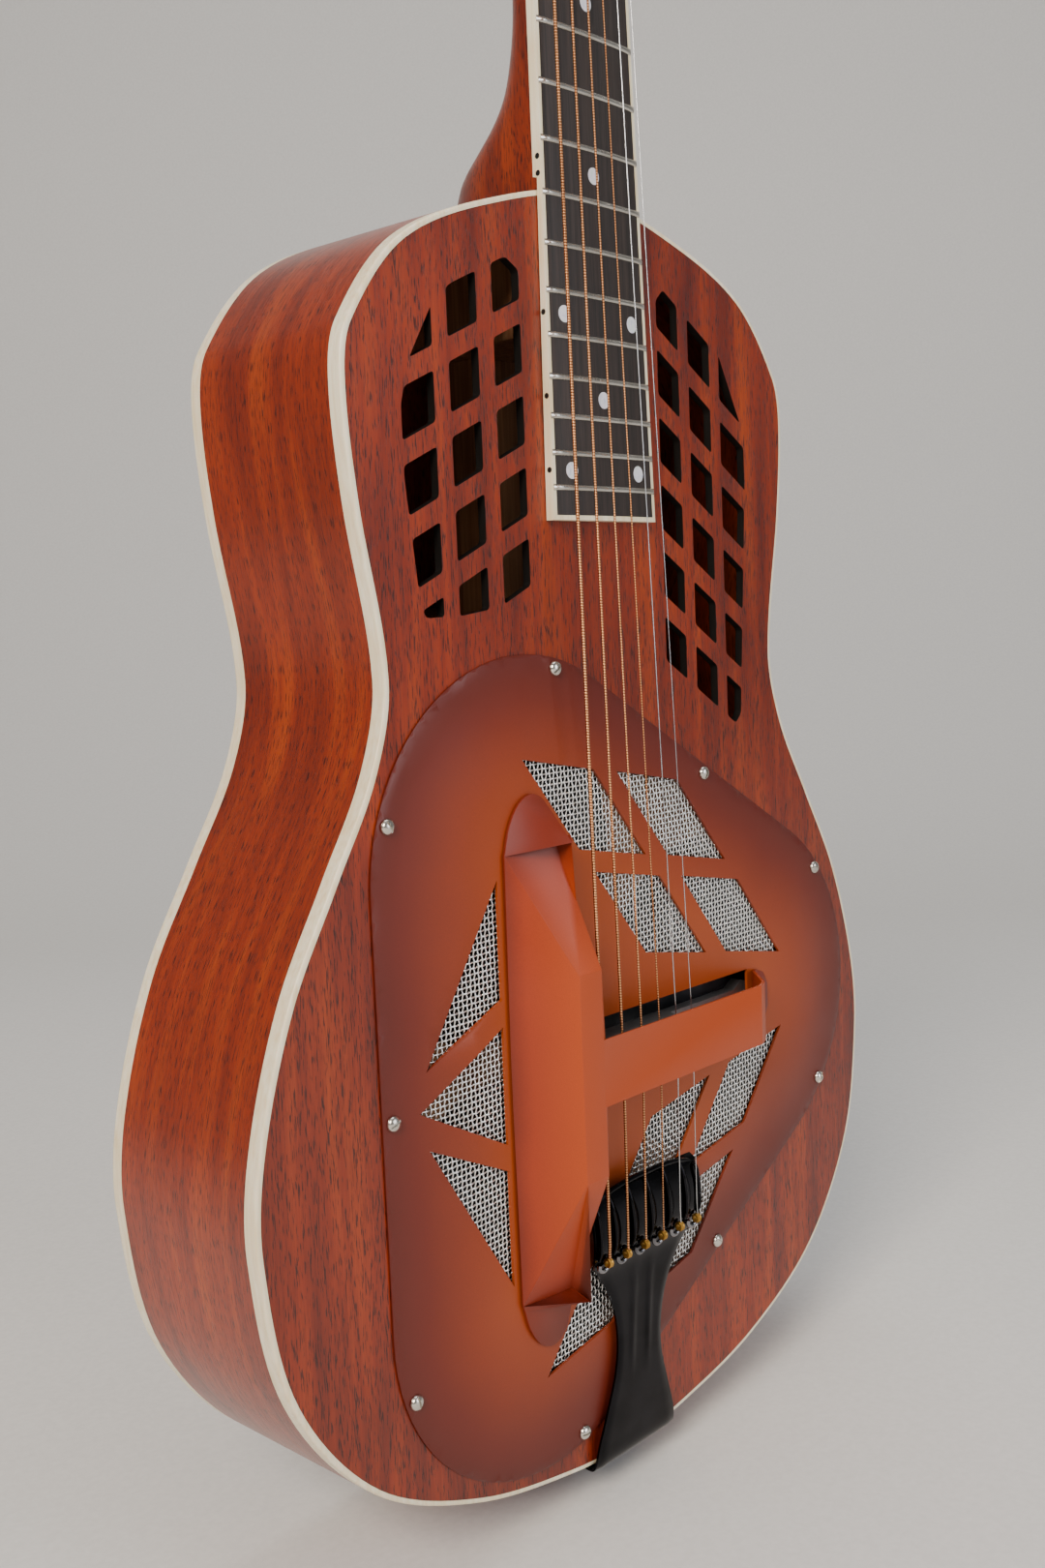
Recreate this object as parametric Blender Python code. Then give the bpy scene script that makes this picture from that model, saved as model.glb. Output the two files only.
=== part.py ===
"""Resonator guitar: a hollow wooden body with three spun aluminium cones under a pressed metal cover.

The guitar stands upright. +Z runs up the neck, the strings face -Y and +X is the treble side.
The origin is the middle of the outer face of the end button.
Dimensions are in millimetres and MM turns them into metres.
"""
import math

import bmesh
import bpy
from mathutils import Vector
from mathutils.geometry import delaunay_2d_cdt

MM = 0.001
GAP = 0.3  # air left between pieces that touch

# Body
FRONT, BACK = -41.0, 41.0  # outer faces of the soundboard and of the back
BUTT_Z = 13.0
BODY_HALF = [(0, 507), (50, 497.6), (96, 478.7), (122, 449), (126.3, 430), (123.4, 391), (114, 331),
             (121.6, 300), (141, 266), (162, 229), (176.7, 184), (179.6, 150), (168.9, 97),
             (135.9, 53), (87.4, 27.6), (34.7, 15.5), (0, 13)]
BINDING_W, BINDING_H = 2.0, 6.0
PLATE_T = 3.6
RIM_T, LINING_W, LINING_H = 3.0, 7.0, 9.0

# Resonators, well and cover: three circles of one radius share one outline
BRIDGE_Z = 181.0
CONE_PITCH, BASS_X = 154.0, -47.0
TREBLE_X = BASS_X + CONE_PITCH * math.sqrt(3) / 2
LOBES = [(BASS_X, BRIDGE_Z + CONE_PITCH / 2), (BASS_X, BRIDGE_Z - CONE_PITCH / 2), (TREBLE_X, BRIDGE_Z)]
COVER_R, WELL_R, WELL_WALL = 78.5, 71.0, 4.0
COVER_T, COVER_RISE, COVER_RAMP = 1.2, 2.6, 45.0
SHELF_Y, SHELF_T, SHELF_HOLE_R = -19.0, 4.0, 63.0
CONE_R, CONE_RISE, CONE_T = 69.5, 15.3, 0.8
SCREW_INSET, SCREW_HOLE_R = 4.0, 1.4

# Pressed openings of the cover: a lattice of slanted windows, and three triangles on the bass side
WINDOW_0, WINDOW_U, WINDOW_V = (-52.5, 117.7), (40.0, -7.5), (29.5, -37.0)
WINDOW_STEP_I, WINDOW_STEP_J = (54.0, -9.7), (38.0, -46.9)
TRIANGLE_OUTER = [(-68.5, 76.0), (-68.5, 32.0), (-106.0, 14.0)]
TRIANGLE_MID = [(-68.5, 22.0), (-68.5, -22.0), (-109.5, 0.0)]

# Neck and strings
SCALE, NUT_Z = 635.0, 820.0
BOARD_END_Z, BODY_JOIN_Z = 385.0, 507.7
NUT_HALF, HALF_GROWTH = 23.0, 0.01622
BOARD_T, BOARD_CROWN_R, NECK_TILT = 5.2, 305.0, 0.0151
BOARD_AT_JOIN = FRONT - 3.65
BOARD_BIND = 1.8
STRING_D = [0.32, 0.42, 0.61, 0.81, 1.07, 1.35]
STRING_NUT, STRING_SADDLE, STRING_COMB = 18.5, 28.5, 28.0
STRING_Y_NUT, STRING_Y_SADDLE, STRING_Y_COMB = FRONT - 0.6, FRONT - 17.6, FRONT - 15.4

# Slotted head
HEAD_TILT = math.radians(12.0)
HEAD_T, HEAD_L, HEAD_HALF, VENEER_T = 16.0, 186.0, 36.0, 1.5
SLOT_IN, SLOT_OUT, SLOT_LOW, SLOT_HIGH = 8.0, 25.5, 46.0, 152.0
ROLLER_UP, ROLLER_DEEP = [64.0, 99.0, 134.0], 7.5
POST_R, BORE_R, SLEEVE_R = 3.0, 3.08, 5.0
GEAR_R, GEAR_TEETH, WORM_OFFSET = 6.0, 14, 9.2
GEAR_X = 40.6

# Hand rest
REST_TOP, REST_T = FRONT - 22.5, 1.2

for item in list(bpy.data.objects):
    bpy.data.objects.remove(item, do_unlink=True)

COLOURS = {
    "top_wood": (0.32, 0.07, 0.025, 0.0, 0.3), "rim_wood": (0.30, 0.06, 0.02, 0.0, 0.28),
    "inner_wood": (0.55, 0.38, 0.22, 0.0, 0.6), "neck_wood": (0.28, 0.06, 0.025, 0.0, 0.35),
    "ivory_binding": (0.86, 0.79, 0.62, 0.0, 0.3), "ebony": (0.03, 0.02, 0.018, 0.0, 0.4),
    "cover_coat": (0.35, 0.08, 0.035, 0.2, 0.42), "screen_nickel": (0.7, 0.7, 0.72, 1.0, 0.3),
    "cone_aluminium": (0.8, 0.8, 0.81, 1.0, 0.35), "bridge_cast": (0.6, 0.6, 0.62, 1.0, 0.5),
    "maple": (0.62, 0.45, 0.27, 0.0, 0.45), "nickel": (0.66, 0.64, 0.6, 1.0, 0.2),
    "dark_nickel": (0.06, 0.06, 0.065, 1.0, 0.15), "bone": (0.82, 0.77, 0.66, 0.0, 0.4),
    "bronze_string": (0.72, 0.42, 0.22, 1.0, 0.3), "steel_string": (0.6, 0.6, 0.6, 1.0, 0.2),
    "button_ivoroid": (0.85, 0.8, 0.66, 0.0, 0.3), "roller_bone": (0.8, 0.75, 0.62, 0.0, 0.4),
}
MATERIALS = {}
for slot, (red, green, blue, metallic, roughness) in COLOURS.items():
    material = bpy.data.materials.new(slot)
    material.use_nodes = True
    shader = material.node_tree.nodes["Principled BSDF"]
    shader.inputs["Base Color"].default_value = (red, green, blue, 1.0)
    shader.inputs["Metallic"].default_value = metallic
    shader.inputs["Roughness"].default_value = roughness
    MATERIALS[slot] = material


def make(name, slot, verts, faces, at=(0, 0, 0), tilt=0.0):
    """One closed object from corner points in millimetres, placed at a point and tilted about X."""
    mesh = bpy.data.meshes.new(name)
    mesh.from_pydata([[c * MM for c in v] for v in verts], [], faces)
    bm = bmesh.new()
    bm.from_mesh(mesh)
    bmesh.ops.remove_doubles(bm, verts=bm.verts, dist=1e-6)
    bmesh.ops.recalc_face_normals(bm, faces=bm.faces)
    bm.to_mesh(mesh)
    bm.free()
    obj = bpy.data.objects.new(name, mesh)
    bpy.context.scene.collection.objects.link(obj)
    obj.location = [c * MM for c in at]
    obj.rotation_euler = (tilt, 0, 0)
    obj.data.materials.append(MATERIALS[slot])
    return obj


def fill(outer, holes, extra=()):
    """Triangles of a flat outline with holes, and where each outline point ended up."""
    points, edges = [], []
    for loop in [outer, *holes]:
        start = len(points)
        points += [Vector(p) for p in loop]
        edges += [(start + i, start + (i + 1) % len(loop)) for i in range(len(loop))]
    points += [Vector(p) for p in extra]
    flat, _, faces, origin, _, _ = delaunay_2d_cdt(points, edges, [], 1, 1e-7)
    where = {old: new for new, olds in enumerate(origin) for old in olds}
    kept = []
    for face in faces:
        middle = sum((flat[i] for i in face), Vector((0, 0))) / len(face)
        if not any(inside(middle, hole) for hole in holes):
            kept.append(list(face))
    return flat, kept, where


def inside(point, loop):
    """Even-odd test of a point against an outline."""
    odd = False
    for (ax, ay), (bx, by) in zip(loop, loop[1:] + loop[:1]):
        if (ay > point[1]) != (by > point[1]) and point[0] < (bx - ax) * (point[1] - ay) / (by - ay) + ax:
            odd = not odd
    return odd


def plate(name, slot, outer, holes, front, back, extra=(), at=(0, 0, 0), tilt=0.0):
    """A sheet seen from the front, with walls round its edge and its holes.

    front and back are depths, or functions of (x, z) that give the depth."""
    flat, tris, where = fill(outer, holes, extra)
    n = len(flat)
    near = front if callable(front) else lambda x, z: front
    far = back if callable(back) else lambda x, z: back
    verts = [(x, near(x, z), z) for x, z in flat] + [(x, far(x, z), z) for x, z in flat]
    faces = tris + [[i + n for i in reversed(t)] for t in tris]
    start = 0
    for loop in [outer, *holes]:
        ids = [where[start + i] for i in range(len(loop))]
        faces += [[a, b, b + n, a + n] for a, b in zip(ids, ids[1:] + ids[:1])]
        start += len(loop)
    return make(name, slot, verts, faces, at, tilt)


def loft(name, slot, loops, closed=False, at=(0, 0, 0), tilt=0.0):
    """Skin through loops of equal count: capped at both ends, or joined last to first."""
    count = len(loops[0])
    verts = [p for loop in loops for p in loop]
    faces = []
    for k in range(len(loops) - (0 if closed else 1)):
        a, b = k * count, ((k + 1) % len(loops)) * count
        faces += [[a + i, a + (i + 1) % count, b + (i + 1) % count, b + i] for i in range(count)]
    if not closed:
        faces += [list(range(count)), list(range(len(verts) - count, len(verts)))]
    return make(name, slot, verts, faces, at, tilt)


def lathe(name, slot, profile, axis, steps, at=(0, 0, 0), tilt=0.0, closed=False):
    """Turned piece: profile holds (radius, distance along the axis)."""
    loops = []
    for radius, along in profile:
        ring = []
        for i in range(steps):
            a = math.tau * (i + 0.5) / steps
            p, q = max(radius, 1e-4) * math.cos(a), max(radius, 1e-4) * math.sin(a)
            ring.append({"X": (along, p, q), "Y": (p, along, q), "Z": (p, q, along)}[axis])
        loops.append(ring)
    return loft(name, slot, loops, closed, at, tilt)


def circle(x, z, radius, steps):
    return [(x + radius * math.cos(math.tau * i / steps), z + radius * math.sin(math.tau * i / steps))
            for i in range(steps)]


def cut(target, cutter, operation="DIFFERENCE"):
    """Boolean with a tool piece that is then thrown away."""
    bpy.context.view_layer.update()
    modifier = target.modifiers.new("cut", "BOOLEAN")
    modifier.operation = operation
    modifier.solver = "EXACT"
    modifier.object = cutter
    graph = bpy.context.evaluated_depsgraph_get()
    mesh = bpy.data.meshes.new_from_object(target.evaluated_get(graph))
    target.modifiers.clear()
    bm = bmesh.new()
    bm.from_mesh(mesh)
    bmesh.ops.remove_doubles(bm, verts=bm.verts, dist=5e-6)
    bmesh.ops.dissolve_degenerate(bm, edges=bm.edges, dist=1e-6)
    bm.to_mesh(mesh)
    bm.free()
    target.data = mesh
    bpy.data.objects.remove(cutter, do_unlink=True)


def smooth(t):
    t = min(max(t, 0.0), 1.0)
    return t * t * (3 - 2 * t)


# ---------------------------------------------------------------- body outline
def body_loop(inset, steps=4):
    """Closed body outline moved inwards: a smooth curve through the measured half widths."""
    keys = BODY_HALF + [(-x, z) for x, z in reversed(BODY_HALF[1:-1])]
    n = len(keys)
    at = [0.0]
    for i in range(n):
        at.append(at[-1] + math.dist(keys[i], keys[(i + 1) % n]))
    loop = []
    for i in range(n):
        p0, p1, p2, p3 = (Vector(keys[(i + k) % n]) for k in (-1, 0, 1, 2))
        span = at[i + 1] - at[i]
        before = math.dist(p0, p1)
        after = math.dist(p2, p3)
        m1 = (p2 - p0) / (before + span) * span
        m2 = (p3 - p1) / (span + after) * span
        for k in range(steps):
            t = k / steps
            loop.append(p1 * (2 * t**3 - 3 * t * t + 1) + m1 * (t**3 - 2 * t * t + t)
                        + p2 * (3 * t * t - 2 * t**3) + m2 * (t**3 - t * t))
    moved = []
    for i, p in enumerate(loop):
        run = (loop[(i + 1) % len(loop)] - loop[i - 1]).normalized()
        moved.append((p.x + run.y * inset, p.y - run.x * inset))
    return moved


def body_ring(name, slot, section):
    """A band that follows the body outline; section holds (inset, depth)."""
    loops = [[(x, y, z) for x, z in body_loop(inset)] for inset, y in section]
    return loft(name, slot, loops, closed=True)


board_inset = BINDING_W + GAP
for name, face, way in (("front_binding", FRONT, 1), ("back_binding", BACK, -1)):
    body_ring(name, "ivory_binding", [(0, face), (BINDING_W, face), (BINDING_W, face + way * BINDING_H),
                                      (0, face + way * BINDING_H)])

rim_edge, lining = BINDING_H + GAP, PLATE_T + GAP
rim = body_ring("side_rim", "rim_wood", [
    (0, FRONT + rim_edge), (board_inset, FRONT + rim_edge), (board_inset, FRONT + lining),
    (LINING_W, FRONT + lining), (LINING_W, FRONT + lining + LINING_H * 0.6),
    (RIM_T, FRONT + lining + LINING_H), (RIM_T, BACK - lining - LINING_H),
    (LINING_W, BACK - lining - LINING_H * 0.6), (LINING_W, BACK - lining), (board_inset, BACK - lining),
    (board_inset, BACK - rim_edge), (0, BACK - rim_edge)])

plate("back_plate", "rim_wood", body_loop(board_inset), [], BACK - PLATE_T, BACK)


# ---------------------------------------------------------------- cover outline
def lobes(radius, steps=7):
    """Outline of a belt round three circles of this radius, at the three cone centres."""
    loop = []
    for (x, z), start in zip((LOBES[2], LOBES[0], LOBES[1]), (-60, 60, 180)):
        for i in range(steps + 1):
            a = math.radians(start + 120.0 * i / steps)
            loop.append((x + radius * math.cos(a), z + radius * math.sin(a)))
    return loop


def inset_of(x, z):
    """How far a point lies inside the cover's edge."""
    ax, az = LOBES[0]
    bx, bz = LOBES[2]
    best = 1e9
    zz = BRIDGE_Z + abs(z - BRIDGE_Z)
    if x < ax and zz > az:
        best = COVER_R - math.dist((x, zz), (ax, az))
    elif x < ax:
        best = COVER_R - (ax - x)
    nx, nz = 0.5, math.sqrt(3) / 2
    along = (x - ax) * nz - (zz - az) * nx
    if best == 1e9:
        if along < 0:
            best = COVER_R - max(math.dist((x, zz), (ax, az)) if zz > az else 0, 0)
        elif along > CONE_PITCH:
            best = COVER_R - math.dist((x, zz), (bx, bz))
        else:
            best = COVER_R - max((x - ax) * nx + (zz - az) * nz, 0)
    return max(best, 0.0)


def cover_face(x, z):
    """Depth of the cover's outer face: flat at the edge, softly raised in the middle."""
    return FRONT - GAP - COVER_T - COVER_RISE * smooth(inset_of(x, z) / COVER_RAMP)


def cover_back(x, z):
    return cover_face(x, z) + COVER_T


def mirror(loop):
    return [(x, 2 * BRIDGE_Z - z) for x, z in reversed(loop)]


def raised(loop):
    """Cover drawing to world: heights are measured from the bridge line."""
    return [(x, BRIDGE_Z + z) for x, z in loop]


upper_windows = []
for i in (0, 1):
    for j in (0, 1):
        x = WINDOW_0[0] + i * WINDOW_STEP_I[0] + j * WINDOW_STEP_J[0]
        z = WINDOW_0[1] + i * WINDOW_STEP_I[1] + j * WINDOW_STEP_J[1]
        (ux, uz), (vx, vz) = WINDOW_U, WINDOW_V
        window = [(x, z), (x + vx, z + vz), (x + ux + vx, z + uz + vz), (x + ux, z + uz)]
        upper_windows.append(raised(window))
lower_windows = [mirror(w) for w in upper_windows]
outer_triangle = raised(TRIANGLE_OUTER)
side_windows = [outer_triangle, raised(TRIANGLE_MID), mirror(outer_triangle)]
saddle_slot = raised([(-35.6, -13.5), (84, -13.5), (84, 13.5), (-35.6, 13.5)])

# Nine screws: two round each bass lobe, one on each slope, two on the treble lobe, one mid bass side
screw_ring = COVER_R - SCREW_INSET
screw_spots = []
for sign in (1, -1):
    for (x, z), degrees in ((LOBES[0], 77.0), (LOBES[0], 161.0), (LOBES[2], 41.5)):
        a = math.radians(degrees)
        rise = z - BRIDGE_Z + screw_ring * math.sin(a)
        screw_spots.append((x + screw_ring * math.cos(a), BRIDGE_Z + sign * rise))
    slope = (LOBES[0][0] + LOBES[2][0]) / 2 + screw_ring * 0.5 + 3.0
    rise = CONE_PITCH / 4 + screw_ring * math.sqrt(3) / 2 - 3.0 / math.sqrt(3)
    screw_spots.append((slope, BRIDGE_Z + sign * rise))
screw_spots.append((BASS_X - screw_ring, BRIDGE_Z))
screw_spots.sort(key=lambda s: (-s[1], s[0]))
screw_holes = [circle(x, z, SCREW_HOLE_R, 8) for x, z in screw_spots]

dome = [(x, z) for r in (66.0, 50.0, 33.0) for x, z in lobes(r, 6)
        if not any(inside((x, z), w) for w in upper_windows + lower_windows + side_windows + [saddle_slot])]
plate("coverplate", "cover_coat", lobes(COVER_R, 12),
      upper_windows + lower_windows + side_windows + [saddle_slot] + screw_holes,
      cover_face, cover_back, dome)


# ---------------------------------------------------------------- soundboard with its two grilles
def clip(loop, region):
    """Part of a slanted window that lies inside a convex region (both run the same way round)."""
    for (ax, az), (bx, bz) in zip(region, region[1:] + region[:1]):
        kept = []
        for (px, pz), (qx, qz) in zip(loop, loop[1:] + loop[:1]):
            p = (bx - ax) * (pz - az) - (bz - az) * (px - ax)
            q = (bx - ax) * (qz - az) - (bz - az) * (qx - ax)
            if p >= 0:
                kept.append((px, pz))
            if (p >= 0) != (q >= 0):
                t = p / (p - q)
                kept.append((px + t * (qx - px), pz + t * (qz - pz)))
        loop = kept
        if len(loop) < 3:
            return []
    return loop


def area(loop):
    return abs(sum(a[0] * b[1] - b[0] * a[1] for a, b in zip(loop, loop[1:] + loop[:1]))) / 2


def grille(side, columns, first, pitch, tall, slope, rows, region):
    """Columns of slanted windows, cut to the grille's own outline. Heights are from the scale line."""
    region = [(side * x, z + 185.0) for x, z in region]
    if side < 0:
        region.reverse()
    windows = []
    for low, high in columns:
        for row in range(rows):
            top = [first - pitch * row - slope * (x - 40.0) + 185.0 for x in (low, high)]
            loop = [(side * low, top[0] - tall), (side * high, top[1] - tall), (side * high, top[1]),
                    (side * low, top[0])]
            if side < 0:
                loop.reverse()
            loop = clip(loop, region)
            if loop and area(loop) > 30.0:
                windows.append(loop)
    return windows


grilles = grille(1, [(39.6, 53.2), (59.8, 74.2), (80.8, 98.0)], 294.3, 26.35, 17.6, 0.62, 6,
                 [(39.6, 130), (86, 115.5), (90.5, 120), (97.4, 215), (97.4, 233), (95.6, 241.6),
                  (80.3, 270.6), (73.1, 278.2), (59.6, 286.4), (51, 290.6), (45, 292.2), (39.6, 287)])
grilles += grille(-1, [(39.8, 54.0), (62.0, 76.8), (84.4, 100.2)], 295.5, 25.5, 17.2, 0.455, 5,
                  [(39.8, 171), (75, 166.5), (93, 166), (95.5, 170), (100.4, 215), (100.6, 236),
                   (95.8, 252.5), (84.8, 270.4), (76.9, 278.2), (62.4, 286.8), (54.6, 290.6), (46, 292.2),
                   (39.8, 288.6)])
plate("soundboard", "top_wood", body_loop(board_inset), grilles + [lobes(WELL_R, 6)] + screw_holes,
      FRONT, FRONT + PLATE_T)


# ---------------------------------------------------------------- inside the body
def box(name, slot, low, high):
    (x0, y0, z0), (x1, y1, z1) = low, high
    return loft(name, slot, [[(x0, y0, z), (x1, y0, z), (x1, y1, z), (x0, y1, z)] for z in (z0, z1)])


inner_front, inner_back = FRONT + PLATE_T + GAP, BACK - PLATE_T - GAP
box("neck_block", "inner_wood", (-32, inner_front, 452), (32, inner_back, 494))
tail_block = box("tail_block", "inner_wood", (-28, SHELF_Y + SHELF_T + GAP, 22.8), (28, inner_back, 44))
box("neck_stick", "inner_wood", (-14, 6, 44 + GAP), (14, 28, 452 - GAP))
for name, z in (("lower_back_brace", 120.0), ("upper_back_brace", 350.0)):
    half = 160.0 if z < 200 else 106.0
    ridge = ((-half, 35.5), (-half + 30, 29.0), (half - 30, 29.0), (half, 35.5))
    loft(name, "inner_wood", [[(x, inner_back, z - 5), (x, inner_back, z + 5), (x, y, z + 2), (x, y, z - 2)]
                              for x, y in ridge])

well_front, well_back = FRONT + PLATE_T + GAP, SHELF_Y + SHELF_T
ring_out, ring_in = lobes(WELL_R + 0.5 + WELL_WALL, 6), lobes(WELL_R + 0.5, 6)
shelf_holes = [circle(x, z, SHELF_HOLE_R, 28) for x, z in LOBES]
flat_top, tris_top, where_top = fill(ring_out, [ring_in])
flat_mid, tris_mid, where_mid = fill(ring_in, shelf_holes)
flat_low, tris_low, where_low = fill(ring_out, shelf_holes)
verts = [(x, well_front, z) for x, z in flat_top]
mid = len(verts)
verts += [(x, SHELF_Y, z) for x, z in flat_mid]
low = len(verts)
verts += [(x, well_back, z) for x, z in flat_low]
faces = tris_top + [[i + mid for i in t] for t in tris_mid] + [[i + low for i in t] for t in tris_low]
n = len(ring_out)
for i in range(n):
    k = (i + 1) % n
    faces.append([where_top[i], where_top[k], low + where_low[k], low + where_low[i]])
    faces.append([where_top[n + i], where_top[n + k], mid + where_mid[k], mid + where_mid[i]])
start = 0
for hole in shelf_holes:
    m = len(hole)
    for i in range(m):
        a, b = start + i, start + (i + 1) % m
        faces.append([mid + where_mid[n + a], mid + where_mid[n + b],
                      low + where_low[n + b], low + where_low[n + a]])
    start += m
make("soundwell", "inner_wood", verts, faces)

# Spun cones: a flat lip on the shelf, a rolled foot, then a shallow cone up to a flat seat
lip_y = -GAP
for name, (x, z) in zip(("cone_bass_upper", "cone_bass_lower", "cone_treble"), LOBES):
    outer = [(CONE_R, lip_y - CONE_T), (SHELF_HOLE_R - 1, lip_y - CONE_T), (58, -2.6), (40, -8.3),
             (20, -13.8), (9, -CONE_RISE - CONE_T), (0, -CONE_RISE - CONE_T)]
    under = [(0, -CONE_RISE), (8.6, -CONE_RISE), (20, -13.0), (40, -7.5), (58.4, -1.8),
             (SHELF_HOLE_R - 1, lip_y), (CONE_R, lip_y)]
    lathe(name, "cone_aluminium", outer + under, "Y", 32, (x, SHELF_Y, z), closed=True)

# Cast T bridge on the three cone seats; the middle of its stem is raised to carry the saddle
seat_y = SHELF_Y - CONE_RISE - CONE_T - GAP
arm, pad, half_pitch = 4.5, 8.0, CONE_PITCH / 2


def pad_arc(x, z, middle):
    """Round pad of the bridge; the arm joins it on the side away from this angle."""
    reach = 180 - math.degrees(math.asin(arm / pad))
    angles = [math.radians(middle + reach * i / 3) for i in range(-3, 4)]
    return [(x + pad * math.cos(a), z + pad * math.sin(a)) for a in angles]


stem = [(BASS_X + arm, -arm), (-35, -arm), (-31.5, -arm), (31.5, -arm), (35, -arm)]
tee = raised(pad_arc(BASS_X, half_pitch, 90) + pad_arc(BASS_X, -half_pitch, 270) + stem
             + pad_arc(TREBLE_X, 0, 0) + [(x, -z) for x, z in reversed(stem)])


def tee_front(x, z):
    if abs(z - BRIDGE_Z) <= arm + 0.1 and abs(x) <= 32:
        return FRONT - 11.0
    return seat_y - 5.5


plate("t_bridge", "bridge_cast", tee, [], tee_front, seat_y)
saddle_top = [FRONT - 17.0 + x * x / 600.0 for x in (-31, -20, -10, 0, 10, 20, 31)]
outline = list(zip((-31, -20, -10, 0, 10, 20, 31), saddle_top))
outline += [(31, FRONT - 11.0 - GAP), (-31, FRONT - 11.0 - GAP)]
loft("saddle", "maple", [[(x, y, BRIDGE_Z + dz) for x, y in outline] for dz in (-1.5, 1.5)])

# ---------------------------------------------------------------- screens behind the cover's windows
(ox, oz), (ix, iz), (jx, jz) = WINDOW_0, WINDOW_STEP_I, WINDOW_STEP_J
right, down = (ix + WINDOW_U[0], iz + WINDOW_U[1]), (jx + WINDOW_V[0], jz + WINDOW_V[1])
upper_sheet = raised([(ox - 3, oz + 2), (ox + down[0] - 3, oz + down[1] - 3),
                      (ox + right[0] + down[0] + 4, oz + right[1] + down[1] - 3),
                      (ox + right[0] + 2, oz + right[1] + 1)])
left_sheet = raised([(-64, 81), (-70, 82), (-110, 17), (-113.5, 0), (-110, -17), (-70, -82), (-64, -81)])


def screen_face(x, z):
    return cover_back(x, z) + GAP


def screen_back(x, z):
    return cover_back(x, z) + GAP + 0.5


for name, sheet in (("screen_upper", upper_sheet), ("screen_lower", mirror(upper_sheet)),
                    ("screen_left", left_sheet)):
    spots = [(x, z) for x, z in dome if inside((x, z), sheet)]
    plate(name, "screen_nickel", sheet, [], screen_face, screen_back, spots)

# ---------------------------------------------------------------- hand rest: one bent sheet, shaped like a T
ground = FRONT - GAP - COVER_T - COVER_RISE - GAP
rest_points = {
    "tongue_a": (-60.5, 97, 0), "tongue_b": (-57, 103, 0), "tongue_c": (-50, 105, 0),
    "tongue_d": (-43.5, 102, 0), "tongue_e": (-41, 96, 0), "base_l": (-65.5, 84, 0),
    "base_r": (-38.5, 86, 0), "ridge_l": (-47.5, 39, 1), "ridge_r": (-36, 39, 1),
}
rest = {}
rest_verts, rest_faces = [], []


def rest_id(x, z, h):
    key = (round(x, 3), round(z, 3), round(h, 3))
    if key not in rest:
        rest[key] = len(rest_verts)
        rest_verts.append((x, ground + h * (REST_TOP - ground), BRIDGE_Z + z))
    return rest[key]


BAR = 12.5
for sign in (1, -1):
    p = {k: (x, sign * z, h) for k, (x, z, h) in rest_points.items()}
    panels = [
        [p["tongue_a"], p["tongue_b"], p["tongue_c"], p["tongue_d"], p["tongue_e"], p["base_r"],
         p["base_l"]],
        [p["base_l"], p["base_r"], p["ridge_l"]],
        [p["base_r"], p["ridge_r"], p["ridge_l"]],
        [p["base_l"], p["ridge_l"], (-47.5, sign * BAR, 1), (-65.5, sign * BAR, 0)],
        [p["ridge_l"], p["ridge_r"], (-36, sign * BAR, 1), (-47.5, sign * BAR, 1)],
        [p["ridge_r"], (-33.5, sign * 39, 0.0), (-33.5, sign * BAR, 0.0), (-36, sign * BAR, 1)],
        [p["ridge_r"], (-37.35, sign * 64, 0.468), (-34.5, sign * 64, 0.0), (-33.5, sign * 39, 0.0)],
    ]
    for panel in panels:
        rest_faces.append([rest_id(*q) for q in panel])
for panel in (
        [(-65.5, BAR, 0), (-47.5, BAR, 1), (-47.5, -BAR, 1), (-65.5, -BAR, 0)],
        [(-47.5, BAR, 1), (-36, BAR, 1), (-36, -BAR, 1), (-47.5, -BAR, 1)],
        [(-36, BAR, 1), (66, BAR, 1), (66, -BAR, 1), (-36, -BAR, 1)],
        [(66, BAR, 1), (72, BAR, 0.86), (72, -BAR, 0.86), (66, -BAR, 1)],
        [(72, BAR, 0.86), (86, BAR, 0.05), (86, -BAR, 0.05), (72, -BAR, 0.86)],
        [(86, BAR, 0.05), (89, BAR, 0), (89, -BAR, 0), (86, -BAR, 0.05)],
        [(89, BAR, 0), (97, 7, 0), (97, -7, 0), (89, -BAR, 0)]):
    rest_faces.append([rest_id(*q) for q in panel])
handrest = make("handrest", "cover_coat", rest_verts, rest_faces)
bm = bmesh.new()
bm.from_mesh(handrest.data)
if sum(f.normal.y * f.calc_area() for f in bm.faces) > 0:
    bmesh.ops.reverse_faces(bm, faces=bm.faces)
bm.to_mesh(handrest.data)
bm.free()
solid = handrest.modifiers.new("sheet", "SOLIDIFY")
solid.thickness = REST_T * MM
solid.offset = 1.0
solid.use_even_offset = True

# ---------------------------------------------------------------- cover screws
for number, (x, z) in enumerate(screw_spots, 1):
    seat = cover_face(x, z) - GAP
    tip = FRONT + PLATE_T - 0.4
    lathe(f"cover_screw_{number}", "nickel",
          [(0, -1.9), (1.2, -1.75), (2.3, -1.1), (2.9, 0), (1.1, 0), (1.1, tip - seat - 1),
           (0, tip - seat)],
          "Y", 10, (x, seat, z))


# ---------------------------------------------------------------- neck
def board_top(z):
    """Depth of the fretboard's crown line: the neck leans back from the body."""
    return BOARD_AT_JOIN + NECK_TILT * (z - 502.5)


def half_width(z):
    return NUT_HALF + (NUT_Z - z) * HALF_GROWTH


def board_face(x, z):
    return board_top(z) + x * x / (2 * BOARD_CROWN_R)


def board_back(x, z):
    return FRONT - GAP if z < BODY_JOIN_Z else board_top(z) + BOARD_T


stations = (BOARD_END_Z, 450.0, BODY_JOIN_Z - 0.1, BODY_JOIN_Z + 0.3, 660.0, NUT_Z)


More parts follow.
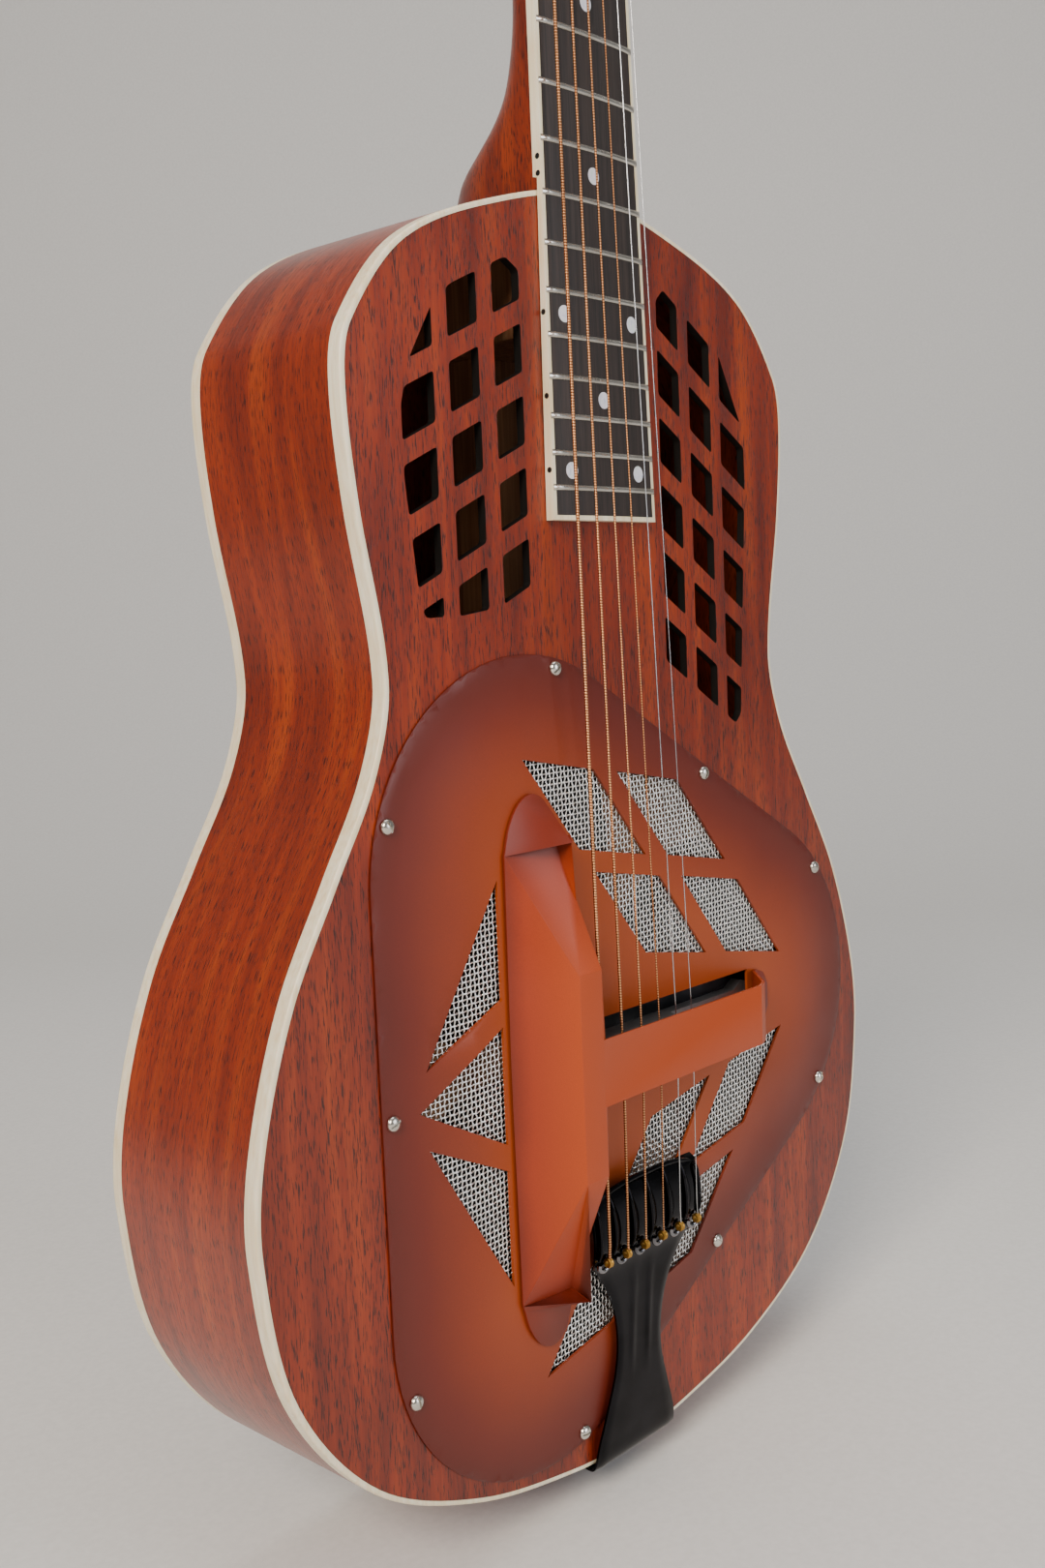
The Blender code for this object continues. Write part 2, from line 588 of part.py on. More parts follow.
def board_side(inset, end):
    """Up the treble side, then down the bass side."""
    zs = (end,) + stations[1:]
    return [(half_width(z) - inset, z) for z in zs] + [(inset - half_width(z), z) for z in reversed(zs)]


inner_end = BOARD_END_Z + BOARD_BIND + GAP / 2
across = (-16, -8, 0, 8, 16)
crown = [(x, z) for z in stations[1:-1] for x in across]
side_line = board_side(BOARD_BIND + GAP / 2, inner_end)
count = len(stations)
plate("fingerboard", "ebony", side_line[:count] + [(x, NUT_Z) for x in reversed(across)] + side_line[count:]
      + [(x, inner_end) for x in across], [], board_face, board_back, crown)
outer_side, inner_side = board_side(0, BOARD_END_Z), board_side(BOARD_BIND, BOARD_END_Z + BOARD_BIND)
band = outer_side[:count][::-1] + [(x, BOARD_END_Z) for x in reversed(across)] + outer_side[count:][::-1]
band += inner_side[count:] + [(x, BOARD_END_Z + BOARD_BIND) for x in across] + inner_side[:count]
plate("fingerboard_binding", "ivory_binding", band, [], board_face, board_back)

head_z = NUT_Z + 0.9
head_y = board_top(head_z) + BOARD_T + GAP - 1.5
HEAD_AT = (0, head_y, head_z)

# Back profile of shaft and heel: height along the neck, half width, depth below the board
profile = [(NUT_Z, 22.5, 15.5), (790.0, 22.9, 14.8), (700.0, 24.0, 15.5),
           (600.0, 25.8, 17.0), (570.0, 26.3, 18.0), (556.0, 26.4, 21.0), (543.0, 26.2, 27.0),
           (534.0, 25.8, 36.0), (526.0, 25.0, 48.0), (519.0, 24.5, 57.0), (512.0, 24.2, 61.0),
           (507.9, 24.0, 62.0)]
turns = [math.pi * i / 12 for i in range(13)]
loops = []
for z, half, deep in profile:
    near = board_top(z) + BOARD_T + GAP
    ring = [(half * math.cos(a), near, z) for a in turns]
    ring += [(half * math.cos(a), near + deep * math.sin(a) ** 0.8, z) for a in reversed(turns[1:-1])]
    loops.append(ring)
# The heel's foot follows the body's curve, and the top end is cut for the glued joint with the head
loops[-1] = [(x, y, z - 0.0052 * x * x) for x, y, z in loops[-1]]
loops[0] = [(x, y, head_z - GAP - (y - head_y) * math.tan(HEAD_TILT)) for x, y, z in loops[0]]
count = len(ring)
faces = [[k + i, k + (i + 1) % count, k + count + (i + 1) % count, k + count + i]
         for k in range(0, count * (len(loops) - 1), count) for i in range(count)]
for k in (0, count * (len(loops) - 1)):
    strips = [[k + i, k + i + 1, k + count - i - 1, k + (count - i) % count] for i in range(len(turns) - 1)]
    faces += [list(dict.fromkeys(strip)) for strip in strips]
make("neck", "neck_wood", [p for loop in loops for p in loop], faces)


# ---------------------------------------------------------------- head, tilted back from the nut
def head_point(x, deep, up):
    """Point given by side, depth below the head's face and height along the head."""
    c, s = math.cos(HEAD_TILT), math.sin(HEAD_TILT)
    return (x, head_y + deep * c + up * s, head_z - deep * s + up * c)


def head_outline(start):
    side = [(22.6, start), (23.6, 14), (27.5, 24), (33, 31), (HEAD_HALF, 39), (HEAD_HALF, 81.5),
            (HEAD_HALF, 116.5), (HEAD_HALF, 168), (34.5, 178), (26, 183), (12, HEAD_L)]
    return side + [(-x, z) for x, z in reversed(side)]


def slot_outline(low, side):
    loop = [(SLOT_IN, low), (SLOT_OUT, low), (SLOT_OUT, 81.5), (SLOT_OUT, 116.5), (SLOT_OUT, SLOT_HIGH),
            (SLOT_OUT - 3, SLOT_HIGH + 4), (SLOT_IN + 3, SLOT_HIGH + 4), (SLOT_IN, SLOT_HIGH),
            (SLOT_IN, 116.5), (SLOT_IN, 81.5)]
    return loop if side > 0 else [(-x, z) for x, z in reversed(loop)]


head = plate("headstock", "neck_wood", head_outline(0), [slot_outline(SLOT_LOW, s) for s in (1, -1)], 0, HEAD_T,
             at=HEAD_AT, tilt=-HEAD_TILT)
for side in (1, -1):
    ramp_xs = (side * SLOT_IN, side * SLOT_OUT)
    wedge = [[(x, -2, 18), (x, 6, SLOT_LOW + 1), (x, -2, SLOT_LOW + 1)] for x in ramp_xs]
    ramp = loft("ramp", "neck_wood", wedge, at=HEAD_AT, tilt=-HEAD_TILT)
    cut(head, ramp)
    for up in ROLLER_UP:
        bore = lathe("bore", "neck_wood", [(BORE_R, side * 2.6), (BORE_R, side * 40)], "X", 16,
                     head_point(0, ROLLER_DEEP, up), -HEAD_TILT)
        cut(head, bore)
plate("head_veneer", "ebony", head_outline(9), [slot_outline(20, s) for s in (1, -1)],
      -GAP - VENEER_T, -GAP, at=HEAD_AT, tilt=-HEAD_TILT)
shield = [(-4, 16), (4, 16), (4.6, 26), (3, 40), (0, 45), (-3, 40), (-4.6, 26)]
plate("truss_rod_cover", "ebony", shield, [], -2 * GAP - VENEER_T - 1.0, -2 * GAP - VENEER_T,
      at=HEAD_AT, tilt=-HEAD_TILT)
nut_back = board_top(NUT_Z) + BOARD_T
nut_face = [(x, board_face(x, NUT_Z) - 1.6) for x in (-22.6, -12, 0, 12, 22.6)]
nut_foot = [(22.6, head_y - GAP), (-22.6, head_y - GAP)]
loft("nut", "bone", [[(x, y + fall, z) for x, y in nut_face] + [(x, y, z) for x, y in nut_foot]
                     for z, fall in ((NUT_Z + GAP, 0.0), (NUT_Z + 1.0, 0.0), (NUT_Z + 4.8, 2.0))])

# ---------------------------------------------------------------- strings
def string_path(number):
    """Centre line from the comb over saddle and nut to the roller; string 1 is the thinnest."""
    place = 1 - 2 * (number - 1) / 5.0
    r = STRING_D[number - 1] / 2
    lift = r + 0.15
    x_nut, x_saddle = place * STRING_NUT, place * STRING_SADDLE
    y_saddle = FRONT - 17.0 + x_saddle**2 / 600.0 - lift
    y_nut = board_face(x_nut, NUT_Z) - 1.6 - lift
    row = number - 1 if number <= 3 else 6 - number
    side = 1 if number <= 3 else -1
    x_roller = side * (20.5 - 3.0 * row)
    up = ROLLER_UP[row]
    arrive = head_point(x_roller, ROLLER_DEEP - SLEEVE_R - lift - 0.25, up)
    crest = (x_nut, y_nut, NUT_Z + 0.7)
    comb = (place * STRING_COMB, STRING_Y_COMB - lift, 108.5)
    return [comb, (x_saddle, y_saddle, BRIDGE_Z), crest, arrive], r


for number in range(1, 7):
    path, r = string_path(number)
    loops = []
    for i, p in enumerate(path):
        here = Vector(p)
        back_dir = (here - Vector(path[i - 1])).normalized() if i else None
        next_dir = (Vector(path[i + 1]) - here).normalized() if i + 1 < len(path) else None
        run = ((back_dir or next_dir) + (next_dir or back_dir)).normalized()
        side = run.cross(Vector((0, 1, 0))).normalized()
        up = side.cross(run)
        loops.append([here + side * (r * math.cos(math.tau * k / 6)) + up * (r * math.sin(math.tau * k / 6))
                      for k in range(6)])
    loft(f"string_{number}", "steel_string" if number < 3 else "bronze_string", loops)

# ---------------------------------------------------------------- tuning machines: three to a plate
for side, label in ((-1, "bass"), (1, "treble")):
    x0 = HEAD_HALF + GAP
    outline = [(1, 50), (15, 50), (15, 156), (1, 156)]
    plate_loops = [[(side * x, y, z) for y, z in outline] for x in (x0, x0 + 1.2)]
    base = loft(f"tuner_plate_{label}", "nickel", plate_loops, at=HEAD_AT, tilt=-HEAD_TILT)
    ear = ((x0 + 0.5, -4), (x0 + 5.8, -3.6), (x0 + 7.8, 0), (x0 + 5.8, 3.6), (x0 + 0.5, 4))
    for up in ROLLER_UP:
        hole = [(POST_R + 0.4, side * (x0 - 2)), (POST_R + 0.4, side * (x0 + 3))]
        cut(base, lathe("eye", "nickel", hole, "X", 16, head_point(0, ROLLER_DEEP, up), -HEAD_TILT))
        for y0, y1 in ((1.0, 2.4), (12.6, 15.0)):
            lug = loft("lug", "nickel", [[(side * x, y, up + WORM_OFFSET + dz) for x, dz in ear]
                                         for y in (y0, y1)], at=HEAD_AT, tilt=-HEAD_TILT)
            cut(base, lug, "UNION")
        cut(base, lathe("eye", "nickel", [(1.88, 0.0), (1.88, 16.0)], "Y", 12,
                        head_point(side * GEAR_X, 0, up + WORM_OFFSET), -HEAD_TILT))
    for row, up in enumerate(ROLLER_UP):
        number = row + 1 if side > 0 else 6 - row
        # Roller: post in its two bores, bone sleeve across the slot, toothed wheel outside the plate
        sleeve_in, sleeve_out = SLOT_IN + GAP, SLOT_OUT - GAP
        turned = [(POST_R, 3.0), (POST_R, sleeve_in), (SLEEVE_R, sleeve_in), (SLEEVE_R, sleeve_out),
                  (POST_R, sleeve_out), (POST_R, GEAR_X - 1.6)]
        turns = [math.tau * k / (2 * GEAR_TEETH) for k in range(2 * GEAR_TEETH)]
        loops = [[(side * along, r * math.cos(a), r * math.sin(a)) for a in turns] for r, along in turned]
        tips = [GEAR_R if k % 2 else GEAR_R - 1.3 for k in range(2 * GEAR_TEETH)]
        for along in (GEAR_X - 1.6, GEAR_X + 1.6):
            loops.append([(side * along, r * math.cos(a), r * math.sin(a)) for r, a in zip(tips, turns)])
        loft(f"tuner_roller_{number}", "roller_bone", loops, at=head_point(0, ROLLER_DEEP, up),
             tilt=-HEAD_TILT)
        # Worm and shaft on an axis square to the head's face, with the thumb button behind
        shaft = [(0.5, 1.8, 1.8), (2.8, 1.8, 1.8), (2.8, 2.3, 2.3), (12.2, 2.3, 2.3), (12.2, 1.8, 1.8),
                 (20.0, 1.8, 1.8)]
        button = [(20.0, 3.6, 3.6), (23.0, 5.0, 3.4), (27.0, 8.6, 3.1), (32.0, 9.2, 2.9), (36.0, 7.4, 2.6),
                  (38.0, 4.0, 1.6)]
        turns = [math.tau * k / 12 for k in range(12)]
        loops = [[(thick * math.cos(a), y, wide * math.sin(a)) for a in turns]
                 for y, wide, thick in shaft + button]
        loft(f"tuner_worm_{number}", "button_ivoroid", loops,
             at=head_point(side * GEAR_X, 0, up + WORM_OFFSET), tilt=-HEAD_TILT)

# ---------------------------------------------------------------- tailpiece and end button
spine = [(129.0, -50.5, 32.5), (125.0, -53.2, 33.0), (116.0, -55.0, 33.2), (107.0, -54.8, 33.0),
         (101.0, -52.5, 31.5), (94.0, -50.6, 26.0), (84.0, -49.6, 19.0), (72.0, -48.6, 14.8),
         (60.0, -47.8, 13.5), (48.0, -47.0, 15.0), (34.0, -46.0, 19.5), (22.0, -45.0, 23.5),
         (14.0, -43.8, 25.0), (11.4, -41.4, 25.0), (11.1, -36.0, 24.0), (11.1, -24.0, 14.0),
         (11.1, -12.0, 8.5), (11.1, 7.0, 8.0)]
loops = []
for i, (z, y, half) in enumerate(spine):
    a, b = spine[max(i - 1, 0)], spine[min(i + 1, len(spine) - 1)]
    run = Vector((0, b[1] - a[1], b[0] - a[0])).normalized()
    inward = Vector((0, -run.z, run.y))
    p, q = Vector((0, y, z)), Vector((0, y, z)) + inward * 1.5
    loops.append([(x, p.y, p.z) for x in (-half, 0, half)] + [(x, q.y, q.z) for x in (half, 0, -half)])
tail = loft("tailpiece", "dark_nickel", loops)
cut(tail, lathe("eye", "dark_nickel", [(3.4, 6.0), (3.4, 16.0)], "Z", 16))
for number in range(1, 7):
    place = 1 - 2 * (number - 1) / 5.0
    eye = lathe("eye", "dark_nickel", [(1.7, -60.0), (1.7, -46.0)], "Y", 8, (place * STRING_COMB, 0, 104.5))
    cut(tail, eye)
for wooden in (rim, tail_block):
    cut(wooden, lathe("eye", "rim_wood", [(3.2, 8.0), (3.2, 36.0)], "Z", 16))
lathe("end_button", "nickel", [(0, 0), (5.6, 0), (7.0, 1.6), (7.0, 3.4), (4.6, 6.2), (4.6, 8.4),
                               (6.2, 10.7), (3.0, 10.7), (3.0, 32.0), (0, 33.5)], "Z", 20)
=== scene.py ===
# %% [markdown]
# # A resonator guitar with a wooden body
# Three spun aluminium cones sit in a well inside a mahogany body, under a pressed metal cover.
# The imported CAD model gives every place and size. This lesson lays the visible surfaces over it:
# wood with pores, satin coating, woven wire, nickel and wound strings.

# %% Load the frame
import math

import bmesh
import bpy
from mathutils import Matrix, Vector
from mathutils.geometry import delaunay_2d_cdt


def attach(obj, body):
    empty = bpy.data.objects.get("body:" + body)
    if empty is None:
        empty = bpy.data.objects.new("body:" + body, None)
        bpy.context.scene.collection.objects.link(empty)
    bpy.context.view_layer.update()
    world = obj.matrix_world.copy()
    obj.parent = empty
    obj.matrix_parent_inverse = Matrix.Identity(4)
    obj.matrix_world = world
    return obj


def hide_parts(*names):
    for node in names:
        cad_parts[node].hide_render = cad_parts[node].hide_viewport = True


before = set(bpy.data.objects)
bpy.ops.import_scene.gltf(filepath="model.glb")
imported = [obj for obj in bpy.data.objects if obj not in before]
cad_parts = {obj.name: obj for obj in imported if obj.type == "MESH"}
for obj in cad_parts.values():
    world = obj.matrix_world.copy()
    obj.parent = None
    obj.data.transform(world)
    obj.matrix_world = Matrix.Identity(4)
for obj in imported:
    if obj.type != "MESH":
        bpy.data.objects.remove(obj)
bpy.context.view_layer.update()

MM = 0.001

# %% [markdown]
# ## Colours and nodes
# A maker picks colours on a screen, so they are written as sRGB hex and turned to linear light once.
# Finishes could be wired by hand in the shader editor. One small function that adds a node with its
# settings and links does the same in a line, so a whole finish can be read from top to bottom.

# %% Colour and node helpers
def linear(code):
    """Hex colour to linear red, green, blue, alpha."""
    parts = [int(code[i:i + 2], 16) / 255 for i in (1, 3, 5)]
    return tuple(c / 12.92 if c <= 0.04045 else ((c + 0.055) / 1.055) ** 2.4 for c in parts) + (1.0,)


def plug(tree, node, inputs):
    """Each input takes a plain value, a hex colour or another node's output."""
    for key, value in inputs.items():
        if isinstance(value, bpy.types.NodeSocket):
            tree.links.new(value, node.inputs[key])
        else:
            node.inputs[key].default_value = linear(value) if isinstance(value, str) else value


def add(tree, kind, inputs, out=0, stops=(), **settings):
    """A node with its settings and links. stops are a colour ramp's (place, hex or grey) marks."""
    made = tree.nodes.new(kind)
    for key, value in settings.items():
        setattr(made, key, value)
    plug(tree, made, inputs)
    if stops:
        marks = made.color_ramp.elements
        while len(marks) < len(stops):
            marks.new(0.5)
        for mark, (place, colour) in zip(marks, stops):
            mark.position = place
            mark.color = linear(colour) if isinstance(colour, str) else (colour, colour, colour, 1.0)
    return made.outputs[out]


def finish(name, roughness, metallic=0.0, **uniform):
    """A named material with its uniform values set on the shader itself."""
    made = bpy.data.materials.new(name)
    made.use_nodes = True
    shader = made.node_tree.nodes["Principled BSDF"]
    plug(made.node_tree, shader, {"Roughness": roughness, "Metallic": metallic}
         | {key.replace("_", " "): value for key, value in uniform.items()})
    return made, made.node_tree, shader


def mottled(tree, where, size_mm, detail, rough=0.5, distortion=0.0):
    """Noise on coordinates scaled so that its features have a real size in millimetres along each axis."""
    spaced = add(tree, "ShaderNodeMapping", {"Vector": where, "Scale": [1 / (c * MM) for c in size_mm]})
    return add(tree, "ShaderNodeTexNoise", {"Vector": spaced, "Scale": 1.0, "Detail": detail,
                                            "Roughness": rough, "Distortion": distortion})


def dirtied(tree, base, pattern, low, high, dirt, amount):
    """A colour pulled towards a dirt tone where a pattern is low."""
    shade = add(tree, "ShaderNodeValToRGB", {"Fac": pattern}, stops=[(low, dirt), (high, "#FFFFFF")])
    return add(tree, "ShaderNodeMix", {"Factor": amount, 6: base, 7: shade}, out=2, data_type="RGBA",
               blend_type="MULTIPLY")


# %% [markdown]
# ## Mahogany under lacquer
# Mahogany has long open pores, a fine fibre and a slow ribbon stripe where the grain leans to and fro.
# The pores are 2 to 6 mm long and under half a millimetre wide; they hold the dark filler.
# A picture of wood would repeat and blur close by, so noise stretched to those sizes draws the grain.
# A clear lacquer lies on top. It is the shader's coat, so the grain stays under a smooth gloss.
# Bent sides need the grain to follow the bend, so they carry their own grain coordinates as an attribute.

# %% Mahogany
RIBBON_MM, CLOUD_MM, FIBRE_MM, PORE_MM = (13, 13, 150), (60, 60, 110), (0.9, 0.9, 24), (0.42, 0.42, 5.5)
PORE_FILL = 0.85


def mahogany(name, dark, middle, light, pore, roughness, coat, attribute=None):
    made, tree, shader = finish(name, roughness, Coat_Weight=coat, Coat_Roughness=0.16, IOR=1.45)
    if attribute:
        where = add(tree, "ShaderNodeAttribute", {}, out="Vector", attribute_name=attribute)
    else:
        where = add(tree, "ShaderNodeTexCoord", {}, out="Object")
    ribbon = mottled(tree, where, RIBBON_MM, 3.0, 0.55, 0.4)
    fibre = mottled(tree, where, FIBRE_MM, 4.0, 0.65)
    base = add(tree, "ShaderNodeValToRGB", {"Fac": ribbon},
               stops=[(0.2, dark), (0.5, middle), (0.85, light)])
    base = dirtied(tree, base, mottled(tree, where, CLOUD_MM, 2.0), 0.25, 0.7, "#9A8A80", 0.55)
    base = dirtied(tree, base, fibre, 0.3, 0.62, "#B9A79A", 0.55)
    hole = add(tree, "ShaderNodeValToRGB", {"Fac": mottled(tree, where, PORE_MM, 2.0)},
               stops=[(0.38, 1.0), (0.44, 0.0)])
    filled = add(tree, "ShaderNodeMath", {0: hole, 1: PORE_FILL}, operation="MULTIPLY")
    sunk = add(tree, "ShaderNodeMath", {0: hole, 1: -1.0}, operation="MULTIPLY")
    plug(tree, shader, {
        "Base Color": add(tree, "ShaderNodeMix", {"Factor": filled, 6: base, 7: pore}, out=2,
                          data_type="RGBA"),
        "Roughness": add(tree, "ShaderNodeValToRGB", {"Fac": fibre},
                         stops=[(0.2, roughness + 0.1), (0.8, roughness - 0.06)]),
        "Normal": add(tree, "ShaderNodeBump", {"Height": sunk, "Distance": 0.05 * MM, "Strength": 0.5})})
    return made


TOP_WOOD = mahogany("lacquered_mahogany_top", "#5A1203", "#8E2B03", "#B84A07", "#200501", 0.36, 0.22)
RIM_WOOD = mahogany("lacquered_mahogany_bent_side", "#601503", "#963103", "#C0530A", "#280701", 0.32, 0.3,
                    "grain")
NECK_WOOD = mahogany("lacquered_mahogany_neck", "#521203", "#822A04", "#A44009", "#220601", 0.36, 0.25)
BACK_WOOD = mahogany("lacquered_mahogany_back", "#5E1604", "#943004", "#BA4C0A", "#2A0702", 0.34, 0.25)
print("mahogany finishes", 4)

# %% [markdown]
# ## Bare wood, black-painted ply edges and ebony
# Blocks, braces and the soundwell are bare sanded wood. The cut edges of the grilles are painted black.
# Ebony is nearly black with fine brown streaks and a low oiled sheen. They differ in colour and in the
# width of their streaks, not in kind, so one recipe with broad times fine noise serves them all.

# %% Inner wood, black paint and ebony
def streaked(name, dark, light, width_mm, length_mm, roughness, depth_mm, **uniform):
    made, tree, shader = finish(name, roughness, **uniform)
    where = add(tree, "ShaderNodeTexCoord", {}, out="Object")
    broad = mottled(tree, where, (width_mm * 4, width_mm * 4, length_mm * 3), 3.0)
    fine = mottled(tree, where, (width_mm, width_mm, length_mm), 5.0, 0.6)
    both = add(tree, "ShaderNodeMath", {0: broad, 1: fine}, operation="MULTIPLY")
    plug(tree, shader, {
        "Base Color": add(tree, "ShaderNodeValToRGB", {"Fac": both}, stops=[(0.12, dark), (0.42, light)]),
        "Roughness": add(tree, "ShaderNodeValToRGB", {"Fac": fine},
                         stops=[(0.3, roughness + 0.12), (0.7, roughness - 0.05)]),
        "Normal": add(tree, "ShaderNodeBump", {"Height": fine, "Distance": depth_mm * MM,
                                               "Strength": 0.5})})
    return made


INNER_WOOD = streaked("bare_sanded_mahogany", "#8A5A3A", "#B98B62", 1.2, 40, 0.62, 0.04)
BLACK_EDGE = streaked("black_painted_ply_edge", "#070606", "#15120F", 0.6, 8, 0.42, 0.05)
EBONY = streaked("oiled_ebony", "#140F0D", "#3A2F2A", 0.35, 30, 0.36, 0.03, IOR=1.52)
MAPLE = streaked("bare_maple", "#B08A5C", "#D8B98A", 0.8, 30, 0.5, 0.02)
print("woods", INNER_WOOD.name, EBONY.name)

# %% [markdown]
# ## Ivory celluloid
# Celluloid binding is cream coloured with faint layered grain, and light soaks a little way in.
# It is scraped flush by hand and polished, so fine scratches run along it. A flat cream would look like
# paint, so a little subsurface light and streaky gloss are added. Bone and ivoroid share the recipe.

# %% Ivory celluloid
def celluloid(name, pale, warm, roughness):
    made, tree, shader = finish(name, roughness, IOR=1.5, Subsurface_Weight=0.12, Subsurface_Scale=0.002)
    where = add(tree, "ShaderNodeTexCoord", {}, out="Object")
    layers = mottled(tree, where, (1.6, 1.6, 45), 3.0)
    grime = mottled(tree, where, (26, 26, 26), 4.0)
    scratch = mottled(tree, where, (0.3, 0.3, 18), 3.0)
    base = add(tree, "ShaderNodeValToRGB", {"Fac": layers}, stops=[(0.3, warm), (0.65, pale)])
    plug(tree, shader, {
        "Base Color": dirtied(tree, base, grime, 0.3, 0.62, "#E2CFA0", 0.3),
        "Roughness": add(tree, "ShaderNodeValToRGB", {"Fac": scratch},
                         stops=[(0.3, roughness + 0.14), (0.7, roughness - 0.06)]),
        "Normal": add(tree, "ShaderNodeBump", {"Height": scratch, "Distance": 0.01 * MM, "Strength": 0.4})})
    return made


IVORY = celluloid("ivory_celluloid_binding", "#F3EAD2", "#E6D7B4", 0.3)
BONE = celluloid("polished_bone", "#EFE6D2", "#DCCFB0", 0.34)
BUTTON = celluloid("ivoroid_tuner_button", "#EFE4C4", "#DFCDA0", 0.26)
print("celluloid", IVORY.name)

# %% [markdown]
# ## Sunburst coating on the cover
# The cover is pressed steel, sprayed and baked: orange-red in the middle, fading to maroon at the edge.
# A gradient texture would be round, and the cover isn't. So each point of the mesh carries how far it
# lies inside the edge, and a ramp turns that into colour.
# Baked coating has a fine orange peel. The real one is about half a millimetre across, and it is drawn
# at 0.7 mm so that it shows.

# %% Sunburst coating
def baked_coat(name, stops):
    made, tree, shader = finish(name, 0.42, IOR=1.42, Coat_Weight=0.08, Coat_Roughness=0.3)
    where = add(tree, "ShaderNodeTexCoord", {}, out="Object")
    edge = add(tree, "ShaderNodeAttribute", {}, out="Fac", attribute_name="burst")
    drift = mottled(tree, where, (38, 38, 38), 2.0)
    moved = add(tree, "ShaderNodeMath", {0: drift, 1: 0.16, 2: edge}, operation="MULTIPLY_ADD")
    moved = add(tree, "ShaderNodeMath", {0: moved, 1: 0.08}, operation="SUBTRACT")
    base = add(tree, "ShaderNodeValToRGB", {"Fac": moved}, stops=stops)
    speck = mottled(tree, where, (0.35, 0.35, 0.35), 2.0)
    peel = mottled(tree, where, (0.7, 0.7, 0.7), 2.0)
    handled = mottled(tree, where, (30, 30, 30), 4.0)
    plug(tree, shader, {
        "Base Color": dirtied(tree, base, speck, 0.35, 0.65, "#CFC4BE", 0.35),
        "Roughness": add(tree, "ShaderNodeValToRGB", {"Fac": handled}, stops=[(0.3, 0.37), (0.7, 0.48)]),
        "Normal": add(tree, "ShaderNodeBump", {"Height": peel, "Distance": 0.018 * MM, "Strength": 0.5})})
    return made


COVER_COAT = baked_coat("baked_sunburst_coating", [(0.0, "#5A1A0F"), (0.25, "#6B210F"), (0.55, "#84300E"),
                                                   (0.85, "#963B0C"), (1.0, "#9E420D")])
REST_COAT = baked_coat("baked_orange_red_coating", [(0.2, "#6A1F0E"), (0.45, "#983410"), (1.0, "#AC430F")])
print("coatings", COVER_COAT.name, REST_COAT.name)

# %% [markdown]
# ## Metals
# Nickel plate is a warm silver, and fingers leave it a little cloudy. The tailpiece is the same plate
# coloured near black, a painted reflection of a dark room, so it mirrors the studio dimly. Brass wears
# darker in its hollows.
# Perfect mirrors look false, so every metal gets two tones in slow smears, and hairlines in its gloss.

# %% Plated and drawn metals
def plated(name, colour, cloud, roughness, grain_mm=(0.4, 0.4, 6.0), depth_mm=0.004):
    made, tree, shader = finish(name, roughness, 1.0)
    where = add(tree, "ShaderNodeTexCoord", {}, out="Object")
    smear = mottled(tree, where, (14, 14, 14), 5.0)
    hair = mottled(tree, where, grain_mm, 3.0)
    worn = add(tree, "ShaderNodeMath", {0: smear, 1: hair}, operation="MULTIPLY")
    plug(tree, shader, {
        "Base Color": add(tree, "ShaderNodeValToRGB", {"Fac": smear}, stops=[(0.3, cloud), (0.6, colour)]),
        "Roughness": add(tree, "ShaderNodeValToRGB", {"Fac": worn},
                         stops=[(0.12, roughness + 0.12), (0.4, roughness)]),
        "Normal": add(tree, "ShaderNodeBump", {"Height": hair, "Distance": depth_mm * MM,
                                               "Strength": 0.4})})
    return made


NICKEL = plated("polished_nickel_plate", "#D9D5CC", "#B9B4A9", 0.16)
# The tailpiece's nickel is coloured near black: a painted reflection of a dark room.
NICKEL_PAINTED_DARK_REFLECTION = plated("polished_nickel_painted_dark_reflection", "#232326", "#151517", 0.07)
# The hooks are the same plate coloured a lighter grey: painted highlights on the comb.
HOOK_NICKEL_PAINTED_HIGHLIGHT = plated("nickel_hook_painted_highlight", "#8A8A8E", "#4A4A4E", 0.06)
WIRE = plated("bright_nickel_wire", "#FAFAF8", "#E2E2E0", 0.22, (0.6, 0.6, 0.6))
# The cones' aluminium is coloured dark grey: painted shade of the closed well around them.
ALUMINIUM_PAINTED_WELL_SHADE = plated("spun_aluminium_painted_well_shade", "#404143", "#28292B", 0.4, (0.5, 0.5, 0.5), 0.01)
CAST = plated("cast_aluminium", "#B4B5B7", "#96979A", 0.45, (1.0, 1.0, 1.0), 0.05)
STEEL = plated("drawn_steel_wire", "#D6D8DA", "#B7B9BB", 0.2, (0.3, 0.3, 20.0))
BRASS = plated("worn_brass", "#C79A4B", "#8F6A2C", 0.3)
print("metals", NICKEL.name, BRASS.name)

# %% [markdown]
# ## Wound strings
# A wound string is a steel core with bronze wire wrapped round it, about half a millimetre a turn.
# Real wraps would take a hundred thousand faces for each string, so a wave along the string draws them:
# the bronze's own colour on top of each wrap and painted shade in the groove, with bump for the ridges.

